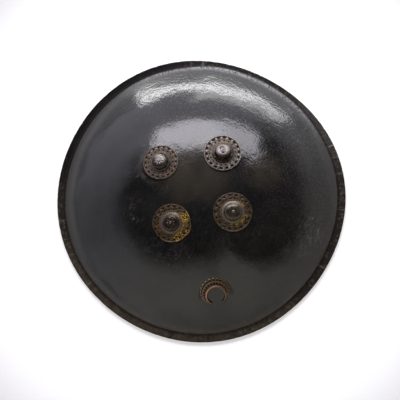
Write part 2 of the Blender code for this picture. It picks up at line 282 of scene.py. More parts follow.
def wrapped(columns, rows, place, paints=(), is_open=None, closed=False):
    """Grid of cells bent to shape. place(column, row) gives a corner's point, then a value for each paint."""
    work = bmesh.new()
    bmesh.ops.create_grid(work, x_segments=columns, y_segments=rows, size=0.5)
    layers = [work.verts.layers.float.new(paint) for paint in paints]
    holes = []
    for face in work.faces:
        middle = face.calc_center_median()
        if is_open and is_open(int((middle.x + 0.5) * columns), int((middle.y + 0.5) * rows)):
            holes.append(face)
    for corner in work.verts:
        corner.co, *values = place(round((corner.co.x + 0.5) * columns), round((corner.co.y + 0.5) * rows))
        for layer, value in zip(layers, values):
            corner[layer] = value
    bmesh.ops.delete(work, geom=holes, context="FACES")
    if closed:
        bmesh.ops.remove_doubles(work, verts=work.verts, dist=2e-6)
    return work


def torus(radius, wire, sides, wire_sides, place):
    """Ring of round wire, turned and moved by place."""
    circle = [polar(wire, 2 * pi * step / wire_sides) for step in range(wire_sides)]
    work = spun([(radius + out, up) for out, up in circle], sides, closed=True)
    bmesh.ops.transform(work, matrix=place, verts=work.verts)
    return work


def join_into(work, other):
    """Adds one bmesh's faces to another."""
    mesh = bpy.data.meshes.new("joining")
    other.to_mesh(mesh)
    other.free()
    work.from_mesh(mesh)
    bpy.data.meshes.remove(mesh)


def add_sheet_metal(piece, thickness, soft_edge=SOFT_EDGE):
    """Gives a sheet its thickness, inwards from its outer side, and soft edges."""
    solidify = piece.modifiers.new("thickness", "SOLIDIFY")
    solidify.thickness = thickness
    solidify.offset = -1
    solidify.use_even_offset = False
    bevel = piece.modifiers.new("soft edges", "BEVEL")
    bevel.width = soft_edge
    bevel.segments = 2
    bevel.limit_method = "ANGLE"
    bevel.angle_limit = radians(50)


# ---------------------------------------------------------------- finishes

def maths_node(operation, swapped=False):
    """Method that adds a Math node fed with the wire and what the method is given."""
    def method(self, *others):
        return self.finish.maths(operation, *((*others, self) if swapped else (self, *others)))
    return method


class Wire:
    """An output in a node tree. Arithmetic on it adds Math nodes."""

    def __init__(self, finish, socket):
        self.finish = finish
        self.socket = socket

    __add__ = __radd__ = maths_node("ADD")
    __sub__ = maths_node("SUBTRACT")
    __rsub__ = maths_node("SUBTRACT", swapped=True)
    __mul__ = __rmul__ = maths_node("MULTIPLY")
    __truediv__ = maths_node("DIVIDE")
    __pow__ = maths_node("POWER")
    larger = maths_node("MAXIMUM")
    smaller = maths_node("MINIMUM")
    size = maths_node("ABSOLUTE")

    def rise(self, start, end):
        """0 before start, 1 after end, and smooth between."""
        return self.finish.node(
            "ShaderNodeMapRange", {"interpolation_type": "SMOOTHSTEP"},
            {"Value": self, "From Min": start, "From Max": end})["Result"]

    def fall(self, start, end):
        return 1 - self.rise(start, end)


def largest(wires):
    return reduce(Wire.larger, wires)


class Finish:
    """Node tree in the making, of a material or of the world."""

    def __init__(self, owner):
        owner.use_nodes = True
        self.owner = owner
        self.tree = owner.node_tree

    def node(self, kind, settings=None, sockets=None):
        """Adds a node. Gives its outputs back as wires, by name."""
        made = self.tree.nodes.new(kind)
        for name, value in (settings or {}).items():
            setattr(made, name, value)
        for name, value in (sockets or {}).items():
            self.feed(made.inputs[name], value)
        return {out.name: Wire(self, out) for out in made.outputs if out.enabled}

    def feed(self, socket, value):
        if isinstance(value, Wire):
            self.tree.links.new(value.socket, socket)
        else:
            socket.default_value = value

    def maths(self, operation, *values):
        return self.node("ShaderNodeMath", {"operation": operation}, dict(enumerate(values)))["Value"]

    def mix(self, share, first, second):
        """Colour from first to second."""
        first, second = (
            (*colour, 1) if isinstance(colour, tuple) and len(colour) == 3 else colour
            for colour in (first, second))
        return self.node("ShaderNodeMix", {"data_type": "RGBA"}, {0: share, 6: first, 7: second})["Result"]

    def layered(self, colour, *layers):
        """Lays tints over a colour, each by its share."""
        for share, tint in layers:
            colour = self.mix(share, colour, tint)
        return colour

    def place(self, turn=0.0, size=(1, 1, 1)):
        """Place on the piece from the foot of the dome's axis, turned by degrees, and in units of size."""
        coordinates = self.node("ShaderNodeTexCoord")["Object"]
        return self.node("ShaderNodeMapping", {"vector_type": "TEXTURE"}, {
            "Vector": coordinates, "Location": AXIS, "Rotation": (0, 0, radians(turn)),
            "Scale": size})["Vector"]

    def noise(self, scale, detail=3.0, roughness=0.5, where=None):
        return self.node("ShaderNodeTexNoise", {"noise_dimensions": "3D"}, {
            "Vector": where or self.where, "Scale": scale, "Detail": detail, "Roughness": roughness})["Fac"]

    def drawn_out(self, turn, length, width, depth=0.01, detail=2.0, roughness=0.5):
        """Noise drawn out one way."""
        return self.noise(1.0, detail, roughness, self.place(turn, (length, width, depth)))

    def cells(self, scale):
        return self.node("ShaderNodeTexVoronoi", None, {"Vector": self.where, "Scale": scale})["Distance"]

    def nicks(self, turn, length, width, density):
        """Short marks lying one way. density is the share of the places for them that have one."""
        where = self.place(turn, (length, width, 1))
        wobble = self.noise(1.7, 2, where=where) - 0.5
        cells = self.node(
            "ShaderNodeTexVoronoi", {"voronoi_dimensions": "2D"}, {"Vector": where, "Scale": 1.0})
        chance = self.split(cells["Color"])[0]
        near = (cells["Distance"] + 0.5 * wobble).fall(0.02, 0.25)
        return near * (chance + density - 1).rise(0.0, 0.4)

    def hairlines(self, turn, length, width, density):
        """Fine scratches lying one way."""
        return (self.drawn_out(turn, length, width, 1) + 0.12 * density).rise(0.70, 0.78)

    def distance(self, point):
        ends = {0: self.where, 1: point}
        return self.node("ShaderNodeVectorMath", {"operation": "DISTANCE"}, ends)["Value"]

    def near(self, x, y, reach):
        """1 round a place on the dome, falling to 0 at a distance of reach."""
        return self.distance(on_dome(x, y)).fall(0.2 * reach, reach)

    def painted(self, *names):
        """Values stored on the piece's vertices."""
        return [self.node("ShaderNodeAttribute", {"attribute_name": name})["Fac"] for name in names]

    def split(self, where):
        parts = self.node("ShaderNodeSeparateXYZ", None, {"Vector": where})
        return parts["X"], parts["Y"], parts["Z"]

    def level(self):
        """Place as x and y, and the distance from the dome's axis."""
        x, y, _ = self.split(self.where)
        return x, y, (x * x + y * y) ** 0.5

    def away(self, degrees):
        """Angle round the axis, either way, from a direction."""
        x, y, radius = self.level()
        way = radians(degrees)
        return self.maths("ARCCOSINE", (x * cos(way) + y * sin(way)) / radius)

    def around_rim(self):
        """Coordinates in which noise runs out in streaks across the brim."""
        x, y, radius = self.level()
        return self.node("ShaderNodeCombineXYZ", None, {
            "X": x / radius * RIM_RADIUS, "Y": y / radius * RIM_RADIUS, "Z": radius * 0.5})["Vector"]

    def done(self, sockets, relief=None):
        """Feeds the material's shader. The relief is in metres. Gives the material back."""
        if relief:
            relief = {"Height": relief, "Distance": 1.0, "Strength": 1.0}
            sockets["Normal"] = self.node("ShaderNodeBump", None, relief)["Normal"]
        for name, value in sockets.items():
            self.feed(self.tree.nodes["Principled BSDF"].inputs[name], value)
        return self.owner


def material(name):
    """Finish of a new material, which lies on the piece by its place from the dome's axis."""
    finish = Finish(bpy.data.materials.new(name))
    finish.where = finish.place()
    return finish


# ---------------------------------------------------------------- finish of the hide

# Where the hide is nicked and scratched: place, reach in metres, how thickly.
SCUFFED_PLACES = (
    (-0.105, -0.020, 0.035, 0.9), (-0.095, 0.042, 0.020, 0.6), (-0.055, 0.008, 0.030, 0.5),
    (-0.083, -0.088, 0.030, 0.9), (-0.050, -0.105, 0.035, 0.8), (0.000, -0.030, 0.040, 0.35),
    (0.033, -0.100, 0.030, 0.4), (0.075, -0.085, 0.030, 0.35), (-0.123, -0.073, 0.020, 0.6),
    (0.170, -0.085, 0.045, 1.0), (0.142, -0.115, 0.040, 0.6), (0.115, -0.175, 0.050, 0.4),
    (0.150, 0.000, 0.060, 0.35), (0.185, 0.060, 0.055, 0.7), (0.205, -0.030, 0.040, 0.5),
    (0.040, -0.185, 0.030, 0.4), (0.120, 0.070, 0.030, 0.5),
)
# Where the brim is cracked: direction round the axis in degrees, the crack's half-width in degrees, how pale.
BRIM_CRACKS = (
    (0, 0.3, 0.35), (7, 0.3, 0.5), (12, 0.35, 0.9), (17, 0.3, 0.25), (79, 0.9, 0.45), (84, 0.7, 0.2),
    (179, 0.3, 0.4), (187, 0.3, 0.5), (194, 0.25, 0.3), (197, 0.25, 0.25), (208, 0.35, 0.35),
    (235, 0.3, 0.15), (-40, 0.35, 0.5), (-15, 0.3, 0.4),
)
DIRT = (0.010, 0.0065, 0.004)
# Dirt, and painted shade in the crease at the dome's foot and in the groove.
GRIME_AND_SHADE = (0.0085, 0.0068, 0.0045)
# Painted highlight along the dome's foot on its upper side.
FOOT_HIGHLIGHT_TONE = (0.20, 0.20, 0.205)


def lacquered_hide():
    """Black lacquer on hide, nicked, scratched and worn thin."""
    finish = material("lacquered_hide")
    x, y, radius = finish.level()
    grime_and_shade, stained, foot_highlight = finish.painted("grime_and_shade", "stained", "foot_highlight")
    mottle = finish.noise(28, 5, 0.6)
    dimples = finish.noise(90, 4, 0.6)
    speckle = finish.noise(420, 3, 0.7)
    streaks = finish.noise(330, 4, 0.65, finish.around_rim())
    smears = finish.drawn_out(52, 0.009, 0.004, detail=4, roughness=0.65)
    strokes = finish.drawn_out(50, 0.015, 0.003) + finish.drawn_out(-40, 0.013, 0.0028)
    half_dimpled = dimples.rise(0.35, 0.65)

    scuffed = largest(thickly * finish.near(*here) for *here, thickly in SCUFFED_PLACES)
    scuffed = scuffed * finish.noise(75, 2).rise(0.35, 0.60)
    scratched = largest((
        finish.nicks(52, 0.013, 0.0055, 0.5 * scuffed),
        0.8 * finish.nicks(-12, 0.010, 0.0048, 0.3 * scuffed),
        0.6 * finish.nicks(80, 0.006, 0.0040, 0.5 * scuffed),
        0.25 * finish.hairlines(55, 0.040, 0.0014, scuffed),
        0.25 * finish.hairlines(-25, 0.034, 0.0014, scuffed)))
    scratched = scratched * (0.15 + 0.7 * scuffed.rise(0.0, 0.3))
    smeared = scuffed * smears.rise(0.42, 0.75)
    rough_side = (x * 0.8 + y * 0.8).rise(-0.10, 0.16)
    sheen = rough_side * (y + 0.6 * x).rise(-0.02, 0.14)
    patch = finish.near(0.174, -0.099, 0.032).larger(0.5 * finish.near(0.160, -0.118, 0.026))
    rubbed_patch = patch * (smears + 0.6 * speckle).rise(0.74, 0.98)

    # Specks, thin brown lacquer round the middle, and a stain round the first boss.
    specks = speckle.rise(0.48, 0.75) * (0.25 + 0.30 * rough_side + 0.7 * sheen)
    thin = finish.near(0, 0.028, 0.08).larger(finish.near(0.115, 0.015, 0.05))
    thin = thin * finish.noise(9).rise(0.3, 0.6)
    haze = smears.rise(0.40, 0.75) * (0.35 + 0.65 * dimples.rise(0.40, 0.62)) * y.fall(-0.10, 0.06)
    rubbed_brown = finish.near(0.120, 0.014, 0.034) * dimples.rise(0.4, 0.65)
    stain_x, stain_y = BOSS_PLACES[0][0] - 0.004, BOSS_PLACES[0][1] - 0.004
    from_boss = finish.distance(on_dome(stain_x, stain_y))
    stain = from_boss.rise(0.027, 0.029) * from_boss.fall(0.030, 0.038)
    stain = stain * (x + AXIS.x - stain_x - y - AXIS.y + stain_y).fall(-0.02, 0.04)
    pit = finish.distance(on_dome(-0.017, -0.222)).fall(0.0014, 0.0028)

    # Dull dirt round the pierced plates and the crescent's fringe.
    covered = largest(
        finish.distance(on_dome(*place)).fall(plate_radius - 0.0015, plate_radius)
        for place, plate_radius in zip(BOSS_PLACES, PLATE_RADII))
    from_crescent = finish.distance(on_dome(*CRESCENT_PLACE))
    fringed = from_crescent.rise(0.0155, 0.0170) * from_crescent.fall(0.0275, 0.0300)
    fringed = fringed * (y - CRESCENT_PLACE[1]).rise(-0.006, 0.002)

    colour = finish.layered(
        finish.mix(mottle.rise(0.35, 0.7), (0.0036, 0.0034, 0.0034), (0.0088, 0.0080, 0.0075)),
        (specks, (0.034, 0.033, 0.032)),
        (0.6 * thin, (0.045, 0.037, 0.026)),
        (0.35 * haze, (0.026, 0.0235, 0.021)),
        (0.25 * rubbed_brown, (0.050, 0.037, 0.020)),
        (0.7 * finish.near(0.168, -0.107, 0.010), (0.010, 0.006, 0.012)),
        (0.7 * stain * (0.3 + half_dimpled), (0.044, 0.038, 0.033)),
        (0.5 * smeared, (0.034, 0.032, 0.031)),
        (scratched, (0.090, 0.086, 0.082)),
        (0.36 * rubbed_patch, (0.100, 0.096, 0.092)),
        (0.7 * (stained * (0.2 + half_dimpled)), (0.034, 0.024, 0.015)),
        (pit, (0.003, 0.002, 0.002)),
        # Dirt, and painted shade in the crease at the foot and in the groove.
        (0.85 * grime_and_shade, GRIME_AND_SHADE),
        # Painted highlight along the foot on the upper side.
        (foot_highlight * streaks.rise(0.36, 0.56), FOOT_HIGHLIGHT_TONE),
        (covered, finish.mix(dimples.rise(0.4, 0.65), DIRT, (0.034, 0.022, 0.012))),
        (fringed, (0.010, 0.0075, 0.005)))
    rough = 0.09 + 0.07 * mottle + 0.25 * scratched + 0.05 * thin + 0.1 * smeared + 0.14 * rubbed_patch
    rough = rough + (0.06 + 0.10 * rough_side) * (speckle - 0.5) + 0.2 * stained
    rough = rough + 0.5 * grime_and_shade.larger(covered).larger(fringed)
    by_foot = radius.rise(0.180, 0.196) * (y + 0.6 * x).rise(0.08, 0.17)
    relief = 0.00030 * dimples + 0.00006 * finish.cells(330) + 0.00012 * strokes
    relief = relief * (0.30 + 0.75 * rough_side + 0.35 * by_foot)
    relief = relief + 0.00036 * mottle - 0.00010 * scratched + (0.000012 + 0.00003 * rough_side) * speckle
    return finish.done({"Base Color": colour, "Roughness": rough.smaller(0.9)}, relief)


def raw_hide():
    """Dull hide: the cracked brim, black at the top left and brown below, and the bare brown inside."""
    finish = material("raw_hide")
    inside, grime_and_shade, foot_highlight = finish.painted("inside", "grime_and_shade", "foot_highlight")
    streaks = finish.noise(240, 5, 0.7, finish.around_rim())
    mottle = finish.noise(28, 5, 0.6)
    dimples = finish.noise(110, 4, 0.65)
    blotches = finish.noise(220, 4, 0.6)
    wander = (finish.noise(160, 2) - 0.5) * 0.012
    cracks = largest(
        strength * (finish.away(way) + wander).size().fall(0.0, radians(width))
        for way, width, strength in BRIM_CRACKS)
    cracks = cracks * (1 - inside)

    black_part, brown_part, light_part, top_part = (
        finish.away(way).fall(radians(start), radians(end))
        for way, start, end in ((125, 26, 56), (-115, 46, 66), (21, 11, 25), (62, 16, 32)))
    uneven = 1 - 0.9 * black_part
    edge = finish.layered(
        finish.mix(black_part, (0.0135, 0.0110, 0.0086), (0.0026, 0.0022, 0.0022)),
        (brown_part, (0.038, 0.0300, 0.0220)),
        (light_part, (0.036, 0.033, 0.031)),
        (0.75 * top_part, (0.007, 0.0065, 0.0065)),
        (0.7 * dimples.rise(0.46, 0.60) * uneven, (0.010, 0.007, 0.004)),
        (0.4 * streaks.fall(0.36, 0.50) * uneven, (0.008, 0.006, 0.004)),
        (0.5 * (0.25 * streaks + 0.75 * blotches).rise(0.50, 0.64) * uneven, (0.110, 0.088, 0.066)),
        (0.8 * cracks, (0.22, 0.20, 0.17)),
        # Painted highlight along the foot on the upper side.
        (foot_highlight * streaks.rise(0.36, 0.56), FOOT_HIGHLIGHT_TONE),
        # Dirt, and painted shade in the crease at the foot and in the groove.
        (0.85 * grime_and_shade, GRIME_AND_SHADE))
    covered = finish.level()[2].fall(0.120, 0.140) * (1 - inside)
    raw = finish.layered(
        finish.mix(mottle.rise(0.3, 0.75), (0.075, 0.042, 0.022), (0.14, 0.086, 0.05)),
        (0.6 * dimples.rise(0.55, 0.75), (0.045, 0.026, 0.015)),
        (covered, finish.mix(dimples.rise(0.4, 0.65), DIRT, (0.030, 0.018, 0.009))))
    return finish.done({
        "Base Color": finish.mix(inside.larger(covered), edge, raw),
        "Roughness": 0.55 + 0.2 * (streaks - 0.5) + 0.2 * inside,
        "Specular IOR Level": 0.06,
    }, 0.00022 * streaks * (1 - inside) + 0.0003 * dimples + 0.0004 * mottle - 0.0003 * cracks)


# ---------------------------------------------------------------- finishes of the metal and the grips

def dark_iron(name, patina, polish_and_highlight, rust=0.3, rough=0.4, metallic=(0.75, 0.5)):
    """Brown patina, and paler where it is rubbed bright and, on the first two caps, where a highlight is
    painted. metallic is of the patina and of the bright part.
    """
    finish = material(name)
    shine, = finish.painted("shine")
    patches = finish.noise(190, 4, 0.65)
    specks = finish.noise(900, 3, 0.6)
    bright = (shine + 0.5 * (patches - 0.5) + 0.4 * (specks - 0.5)).rise(0.1, 0.95)
    rusted = patches.rise(0.50, 0.66) * rust * (1 - 0.8 * bright)
    colour = finish.layered(
        finish.mix(patches.rise(0.4, 0.6), tuple(0.6 * part for part in patina), patina),
        (bright, polish_and_highlight),
        (rusted, (0.075, 0.032, 0.014)))
    metal = metallic[0] + (metallic[1] - metallic[0]) * bright
    return finish.done({
        "Base Color": colour,
        "Metallic": metal * (1 - rusted),
        "Roughness": rough + 0.10 * bright + 0.12 * (specks - 0.5) + 0.25 * rusted,
    }, 0.00006 * specks + 0.00012 * patches)


GILT = (0.62, 0.36, 0.045)
COPPER = (0.24, 0.13, 0.065)
PALE = (0.22, 0.185, 0.15)
MAUVE = (0.10, 0.080, 0.075)
# Painted shade, on the lower side of the first two plates.
SHADED = (0.020, 0.014, 0.009)
# Each plate's metal, how rusty, rough and gritty it is, how speckled where it is rubbed, and the patches on
# it, those in SHADED being painted shade: direction in degrees, strength, distance from the middle, size,
# colour.
PLATE_FINISHES = (
    ((0.072, 0.058, 0.043), 0.35, 0.31, 0.00020, 1.3, (
        (100, 0.5, 0.022, 0.020, PALE), (0, 0.4, 0.025, 0.018, (0.17, 0.13, 0.10)),
        (-95, 0.85, 0.021, 0.030, SHADED), (-60, 0.25, 0.024, 0.02, COPPER))),
    ((0.092, 0.083, 0.072), 0.2, 0.30, 0.00016, 1.3, (
        (85, 0.55, 0.022, 0.014, (0.19, 0.135, 0.09)), (140, 0.4, 0.023, 0.020, PALE),
        (40, 0.3, 0.024, 0.018, COPPER), (-90, 0.85, 0.021, 0.030, SHADED))),
    ((0.055, 0.039, 0.021), 0.3, 0.26, 0.00030, 2.8, (
        (15, 0.9, 0.0235, 0.012, GILT), (-72, 0.85, 0.024, 0.011, GILT), (-40, 0.5, 0.024, 0.012, GILT),
        (-8, 0.5, 0.022, 0.009, GILT), (180, 0.4, 0.024, 0.012, COPPER), (130, 0.3, 0.024, 0.012, COPPER))),
    ((0.050, 0.037, 0.022), 0.3, 0.26, 0.00030, 2.8, (
        (-78, 1.0, 0.0195, 0.0055, GILT), (-50, 1.0, 0.0195, 0.0055, GILT), (-105, 0.9, 0.0200, 0.005, GILT),
        (-25, 0.6, 0.0205, 0.005, GILT), (28, 0.5, 0.0205, 0.005, GILT), (52, 0.4, 0.0205, 0.004, GILT),
        (-120, 0.4, 0.029, 0.016, MAUVE), (90, 0.35, 0.029, 0.02, MAUVE))),
)


def boss_bronze(number):
    """Brown patina over bronze, paler where it is rubbed, patches of rust, the last of the gilding, and on
    the first two plates painted shade on the lower side and beside the cap.
    """
    bronze, rust, rough, grit, speckled, patches_of_colour_and_shade = PLATE_FINISHES[number - 1]
    finish = material(f"boss_bronze_{number}")
    # worn is rubbed wear; on the first two plates it also holds painted shade beside the cap.
    worn, = finish.painted("worn")
    patches = finish.noise(160, 4, 0.65)
    specks = finish.noise(560, 3, 0.6)
    flecks = finish.noise(430, 2)
    rubbed = (worn + speckled * (specks - 0.5)).rise(0.05, 0.95)
    rusted = patches.rise(0.45, 0.62) * rust
    low, high = (tuple(share * part for part in bronze) for share in (0.30, 2.6))
    colour = finish.layered(finish.mix(rubbed, low, high), (rusted, (0.085, 0.038, 0.018)))
    metal = (0.7 + 0.2 * specks) * (1 - 0.6 * rusted)
    place = boss_seat(number)
    for degrees, strength, at_radius, size, tint in patches_of_colour_and_shade:
        centre = lay_on_dome(place, *polar(at_radius, radians(degrees)), 0) - AXIS
        spread = finish.distance(centre).fall(size * 0.45, size)
        spread = spread * (0.6 * flecks + 0.4 * specks + 0.18 * (worn - 0.35)).rise(0.500, 0.560) * strength
        colour = finish.mix(spread, colour, tint)
        metal = metal + spread * (0.9 - metal)
    return finish.done({
        "Base Color": colour,
        "Metallic": metal,
        "Roughness": rough + 0.15 * specks + 0.2 * rusted + 0.15 * (1 - worn),
    }, grit * specks + 0.0001 * patches)


def crescent_copper():
    """Dull pink copper on the smooth band, with a painted highlight along its crest that is brightest on the
    upper side, and dark with yellowish tips on the fringe.
    """
    finish = material("crescent_copper")
    band, tip, band_highlight = finish.painted(*CRESCENT_PAINTS)
    specks = finish.noise(700, 3, 0.6)
    patches = finish.noise(180, 3, 0.6)
    right = (finish.split(finish.where)[0] - CRESCENT_PLACE[0]).rise(0.0, 0.014)
    smooth = finish.layered(
        finish.mix(specks.rise(0.35, 0.65), (0.046, 0.025, 0.015), (0.086, 0.047, 0.029)),
        (right, (0.080, 0.062, 0.048)),
        # Painted highlight along the band.
        (band_highlight, (0.44, 0.285, 0.20)))
    fringe = finish.layered(
        finish.mix(patches.rise(0.4, 0.6), (0.048, 0.031, 0.016), (0.085, 0.052, 0.027)),
        (tip * (0.4 + specks), (0.50, 0.39, 0.25)))
    return finish.done({
        "Base Color": finish.mix(band, fringe, smooth),
        "Metallic": 0.6 + 0.3 * band,
        "Roughness": 0.5 - 0.1 * band + 0.15 * specks,
    }, 0.0001 * specks)


def packed_dirt():
    """Dry dirt behind the crescent's fringe."""
    finish = material("packed_dirt")
    grains = finish.noise(900, 3, 0.7)
    return finish.done({
        "Base Color": finish.mix(grains.rise(0.4, 0.65), DIRT, (0.030, 0.019, 0.011)),
        "Roughness": 0.75 + 0.2 * grains,
        "Specular IOR Level": 0.06,
    }, 0.0001 * grains)


def grip_leather():
    """Dark brown leather, shiny and paler where the hand has worn it."""
    finish = material("grip_leather")
    worn, = finish.painted("worn")
    patches = finish.noise(120, 4, 0.6)
    return finish.done({
        "Base Color": finish.layered(
            finish.mix(patches.rise(0.35, 0.7), (0.045, 0.022, 0.012), (0.085, 0.042, 0.022)),
            (0.5 * worn, (0.14, 0.075, 0.04))),
        "Roughness": 0.62 - 0.15 * worn + 0.1 * patches,
    }, 0.00008 * finish.cells(900) + 0.0001 * patches)


# ---------------------------------------------------------------- the hide

HIDE_PAINTS = ("inside", "grime_and_shade", "stained", "foot_highlight")
HIDE_SIDES = 384
HIDE_FOOT = FOOT_RADIUS - 0.003
GROOVE_RADIUS = 0.2210
# Radii of the dome's rings: wide steps, then fine ones near its foot.
DOME_RADII = [0.0026 * step for step in range(82)] + [0.2112 + 0.0008 * step for step in range(17)]
INSIDE_RINGS = 40
INSIDE_FOOT = FOOT_RADIUS - 0.0075
LACQUER_UNDER_PLATE = 0.0016          # how far the lacquer goes in under a plate's edge
UNEVEN_FROM = 0.014                   # distance from the metal at which the hide is fully uneven
# Section of the brim from the foot of the dome, round the lip and back under: steps out from the foot,
# heights, marks.
BRIM_SECTION = (
    (-0.0030, dome_height(HIDE_FOOT), 1.0), (-0.0009, 0.0077, 1.1), (0.0014, 0.0069, 1.2),
    (0.0048, 0.0065, 1.4), (0.0085, 0.0065, 1.6), (0.0110, 0.0063, 1.8), (0.0119, 0.0053, 2.0),
    (0.0115, 0.0036, 2.2), (0.0085, 0.0020, 2.4), (0.0040, 0.0002, 2.6), (0.0, 0.0, 2.7),
    (-0.0034, 0.0002, 2.9), (-0.0052, 0.0024, 3.0),
)


def rim_shift(radius, angle):
    """How far the hide moves out from true round: the rim's waves, and the foot at the narrow brim."""
    waves = sum(height * cos(count * angle - radians(way)) for count, height, way in RIM_WAVES)
    narrow = NARROWING * smooth_step(1.6 * (1 - abs(turn_between(angle, NARROW_MIDDLE)) / NARROW_REACH))
    near_rim = smooth_step((radius - CALM_RADIUS) / (FOOT_RADIUS - CALM_RADIUS))
    return near_rim * (waves + narrow * (1 - clamp((radius - FOOT_RADIUS) / BRIM_WIDTH)))


def hide_section():
    """Section of the hide as (radius, height, mark).

    The mark is 0 to 1 down the dome, to 2 at the lip, to 3 at the inner foot and to 4 at the top inside.
    """
    section = [(radius, dome_height(radius), radius / HIDE_FOOT) for radius in DOME_RADII]
    section += through([(FOOT_RADIUS + step, height, mark) for step, height, mark in BRIM_SECTION], 4)
    for ring in range(INSIDE_RINGS, -1, -1):
        radius = INSIDE_FOOT * ring / INSIDE_RINGS
        in_by, down_by = (HIDE_THICKNESS * part for part in (
            sin(atan(dome_slope(radius))), cos(atan(dome_slope(radius)))))
        section.append((radius - in_by, dome_height(radius) - down_by, 4 - ring / INSIDE_RINGS))
    return section


def calm(x, y):
    """0 under the metal, which lies close on the hide, and 1 well away from it."""
    clear = dist((x, y), CRESCENT_PLACE) - CRESCENT_REACH
    for place, plate_radius in zip(BOSS_PLACES, PLATE_RADII):
        clear = min(clear, dist((x, y), place) - plate_radius)
    return smooth_step(clear / UNEVEN_FROM)


def unevenness(point):
    """How far the hide stands off its true surface there: it was beaten and dried by hand."""
    return (0.0006 * noise.noise(point * 11) + 0.0004 * noise.noise(point * 25 + Vector((7, 0, 0)))
            + 0.0001 * noise.noise(point * 60 + Vector((0, 3, 0))))


def keep_faces(work, is_wanted):
    """Keeps the faces for which is_wanted holds, given the mean mark and the middle."""
    marks = work.verts.layers.float["mark"]
    unwanted = []
    for face in work.faces:
        mark = sum(corner[marks] for corner in face.verts) / len(face.verts)
        if not is_wanted(mark, face.calc_center_median()):
            unwanted.append(face)
    bmesh.ops.delete(work, geom=unwanted, context="FACES")


def is_lacquered(mark, middle):
    """The lacquer ends at the dome's foot, or a little past it at the top. There is none under the plates."""
    x, y = middle.x - AXIS.x, middle.y - AXIS.y
    for place, plate_radius in zip(BOSS_PLACES, PLATE_RADII):
        if dist((x, y), place) < plate_radius - LACQUER_UNDER_PLATE:
            return False
    angle = atan2(y, x)
    return mark < 1.04 + 0.05 * sector(angle, 72, 55) - 0.03 * sector(angle, 145, 45)


def hide_wear(mark, radius, angle, groove):
    """Values of HIDE_PAINTS at a place on the hide."""
    # Dark grime: dirt on the brim and round the lip, and painted shade in the crease at the dome's foot and
    # in the groove.
    grime_and_shade = 0.9 * hump(mark, 1.14, 0.16) * (1 - 0.6 * sector(angle, 72, 58) - 0.25 * sector(angle, 265, 75))
    grime_and_shade += 0.5 * hump(mark, 1.96, 0.18) + 0.5 * hump(mark, 1.32, 0.14) * sector(angle, 303, 32)
    grime_and_shade += 0.6 * hump(mark, 0.980, 0.07) * sector(angle, 2, 34)
    grime_and_shade += 0.75 * hump(mark, 0.980, 0.08) * sector(angle, 150, 62) ** 0.5
    grime_and_shade += 0.6 * groove * hump(radius, GROOVE_RADIUS, 0.0018)
    stained = smooth_step((mark - 0.95) / 0.045) * sector(angle, 255, 105) if mark < 1.1 else 0.0
    # Painted highlight along the foot on its upper side, reaching out over the brim towards the upper right.
    over_foot = 0.045 if mark < 1 else 0.045 + 0.20 * sector(angle, 52, 34)
    foot_highlight = 0.8 * hump(mark, 0.998, over_foot) * sector(angle, 66, 52) ** 0.5
    return smooth_step((mark - 2.35) / 0.2), min(grime_and_shade, 1.0), stained, foot_highlight


def build_hide(lacquer, dull):
    work = spun(hide_section(), HIDE_SIDES)
    marks = work.verts.layers.float["mark"]
    layers = [work.verts.layers.float.new(paint) for paint in HIDE_PAINTS]
    for corner in work.verts:
        mark = corner[marks]
        x, y, z = corner.co
        radius = hypot(x, y)
        angle = atan2(y, x)
        out = dome_normal(x, y)
        groove = sector(angle, 141, 24) ** 0.5 if mark < 1 else 0.0
        for layer, value in zip(layers, hide_wear(mark, radius, angle, groove)):
            corner[layer] = value
        if radius > CALM_RADIUS:
            corner.co.xy *= 1 + rim_shift(radius, angle) / radius
        if mark < 1:
            corner.co += out * (unevenness(Vector((x, y, z))) * calm(x, y))
            corner.co -= out * (0.00045 * groove * hump(radius, GROOVE_RADIUS, 0.0022))
        elif mark > 3:
            corner.co -= out * (0.5 * unevenness(Vector((x, y, z))) + 0.0002)
        lip = hump(mark, 1.95, 0.35)
        if lip:
            ragged = noise.noise(Vector((x, y, 0)) * 130) + 0.6 * noise.noise(Vector((x, y, 4)) * 290)
            corner.co.xy *= 1 + min(ragged, 0.0) * 0.0007 * lip / radius
        corner.co.z = max(corner.co.z, 0.0)
        corner.co += AXIS
    other = work.copy()
    keep_faces(work, is_lacquered)
    keep_faces(other, lambda mark, middle: not is_lacquered(mark, middle))
    new_piece("hide_shell", work, lacquer, "hide_lacquered")
    new_piece("hide_shell", other, dull, "hide_brim_and_inside")


# ---------------------------------------------------------------- the bosses

COLUMNS_A_SECTOR = 12
ZONE_ROWS = 6
OPENING_SIZE = (4, 2)                 # half columns and half rows of an opening in the plates' outer ring
SMALL_OPENING_SIZE = (3, 2)           # and in their inner ring
# Openings of each plate: half width along the ring and across it, how square they are on their inner side and
# on their outer one.
OUTER_OPENINGS = (
    (0.0018, 0.0012, 1.7, 3), (0.0027, 0.0015, 1.6, 4), (0.0018, 0.0013, 1.7, 3), (0.0017, 0.0012, 1.7, 3))
INNER_OPENINGS = (
    (0.0013, 0.0011, 1.8, 1.8), (0.0014, 0.0012, 1.8, 1.8), (0.0014, 0.0011, 1.8, 1.8),
    (0.0013, 0.0010, 1.8, 1.8))
BEAD_HEIGHTS = (0.0005, 0.0008, 0.0006, 0.0006)
STRUT_WEAR = (0.6, 0.75, 0.7, 0.7)
RING_SCALE_RADIUS = 0.0305            # radius of the plate that the two rings' sizes are for
OUTER_RING = (0.0262, 0.0022)         # middle radius and half width of the ring of openings
INNER_RING = (0.0212, 0.0022)
BEAD = (0.0, 0.12, 0.45, 0.95, 1.45, 1.8)       # rows over the bead, in from the edge, in millimetres
BEAD_MIDDLE = 0.95 * MM
LAND = (0.0175, 0.0150, 0.0100, 0.0050, BOLT_HOLE_RADIUS)
PLATE_TURNS = (0, 4, 0, 0)            # degrees


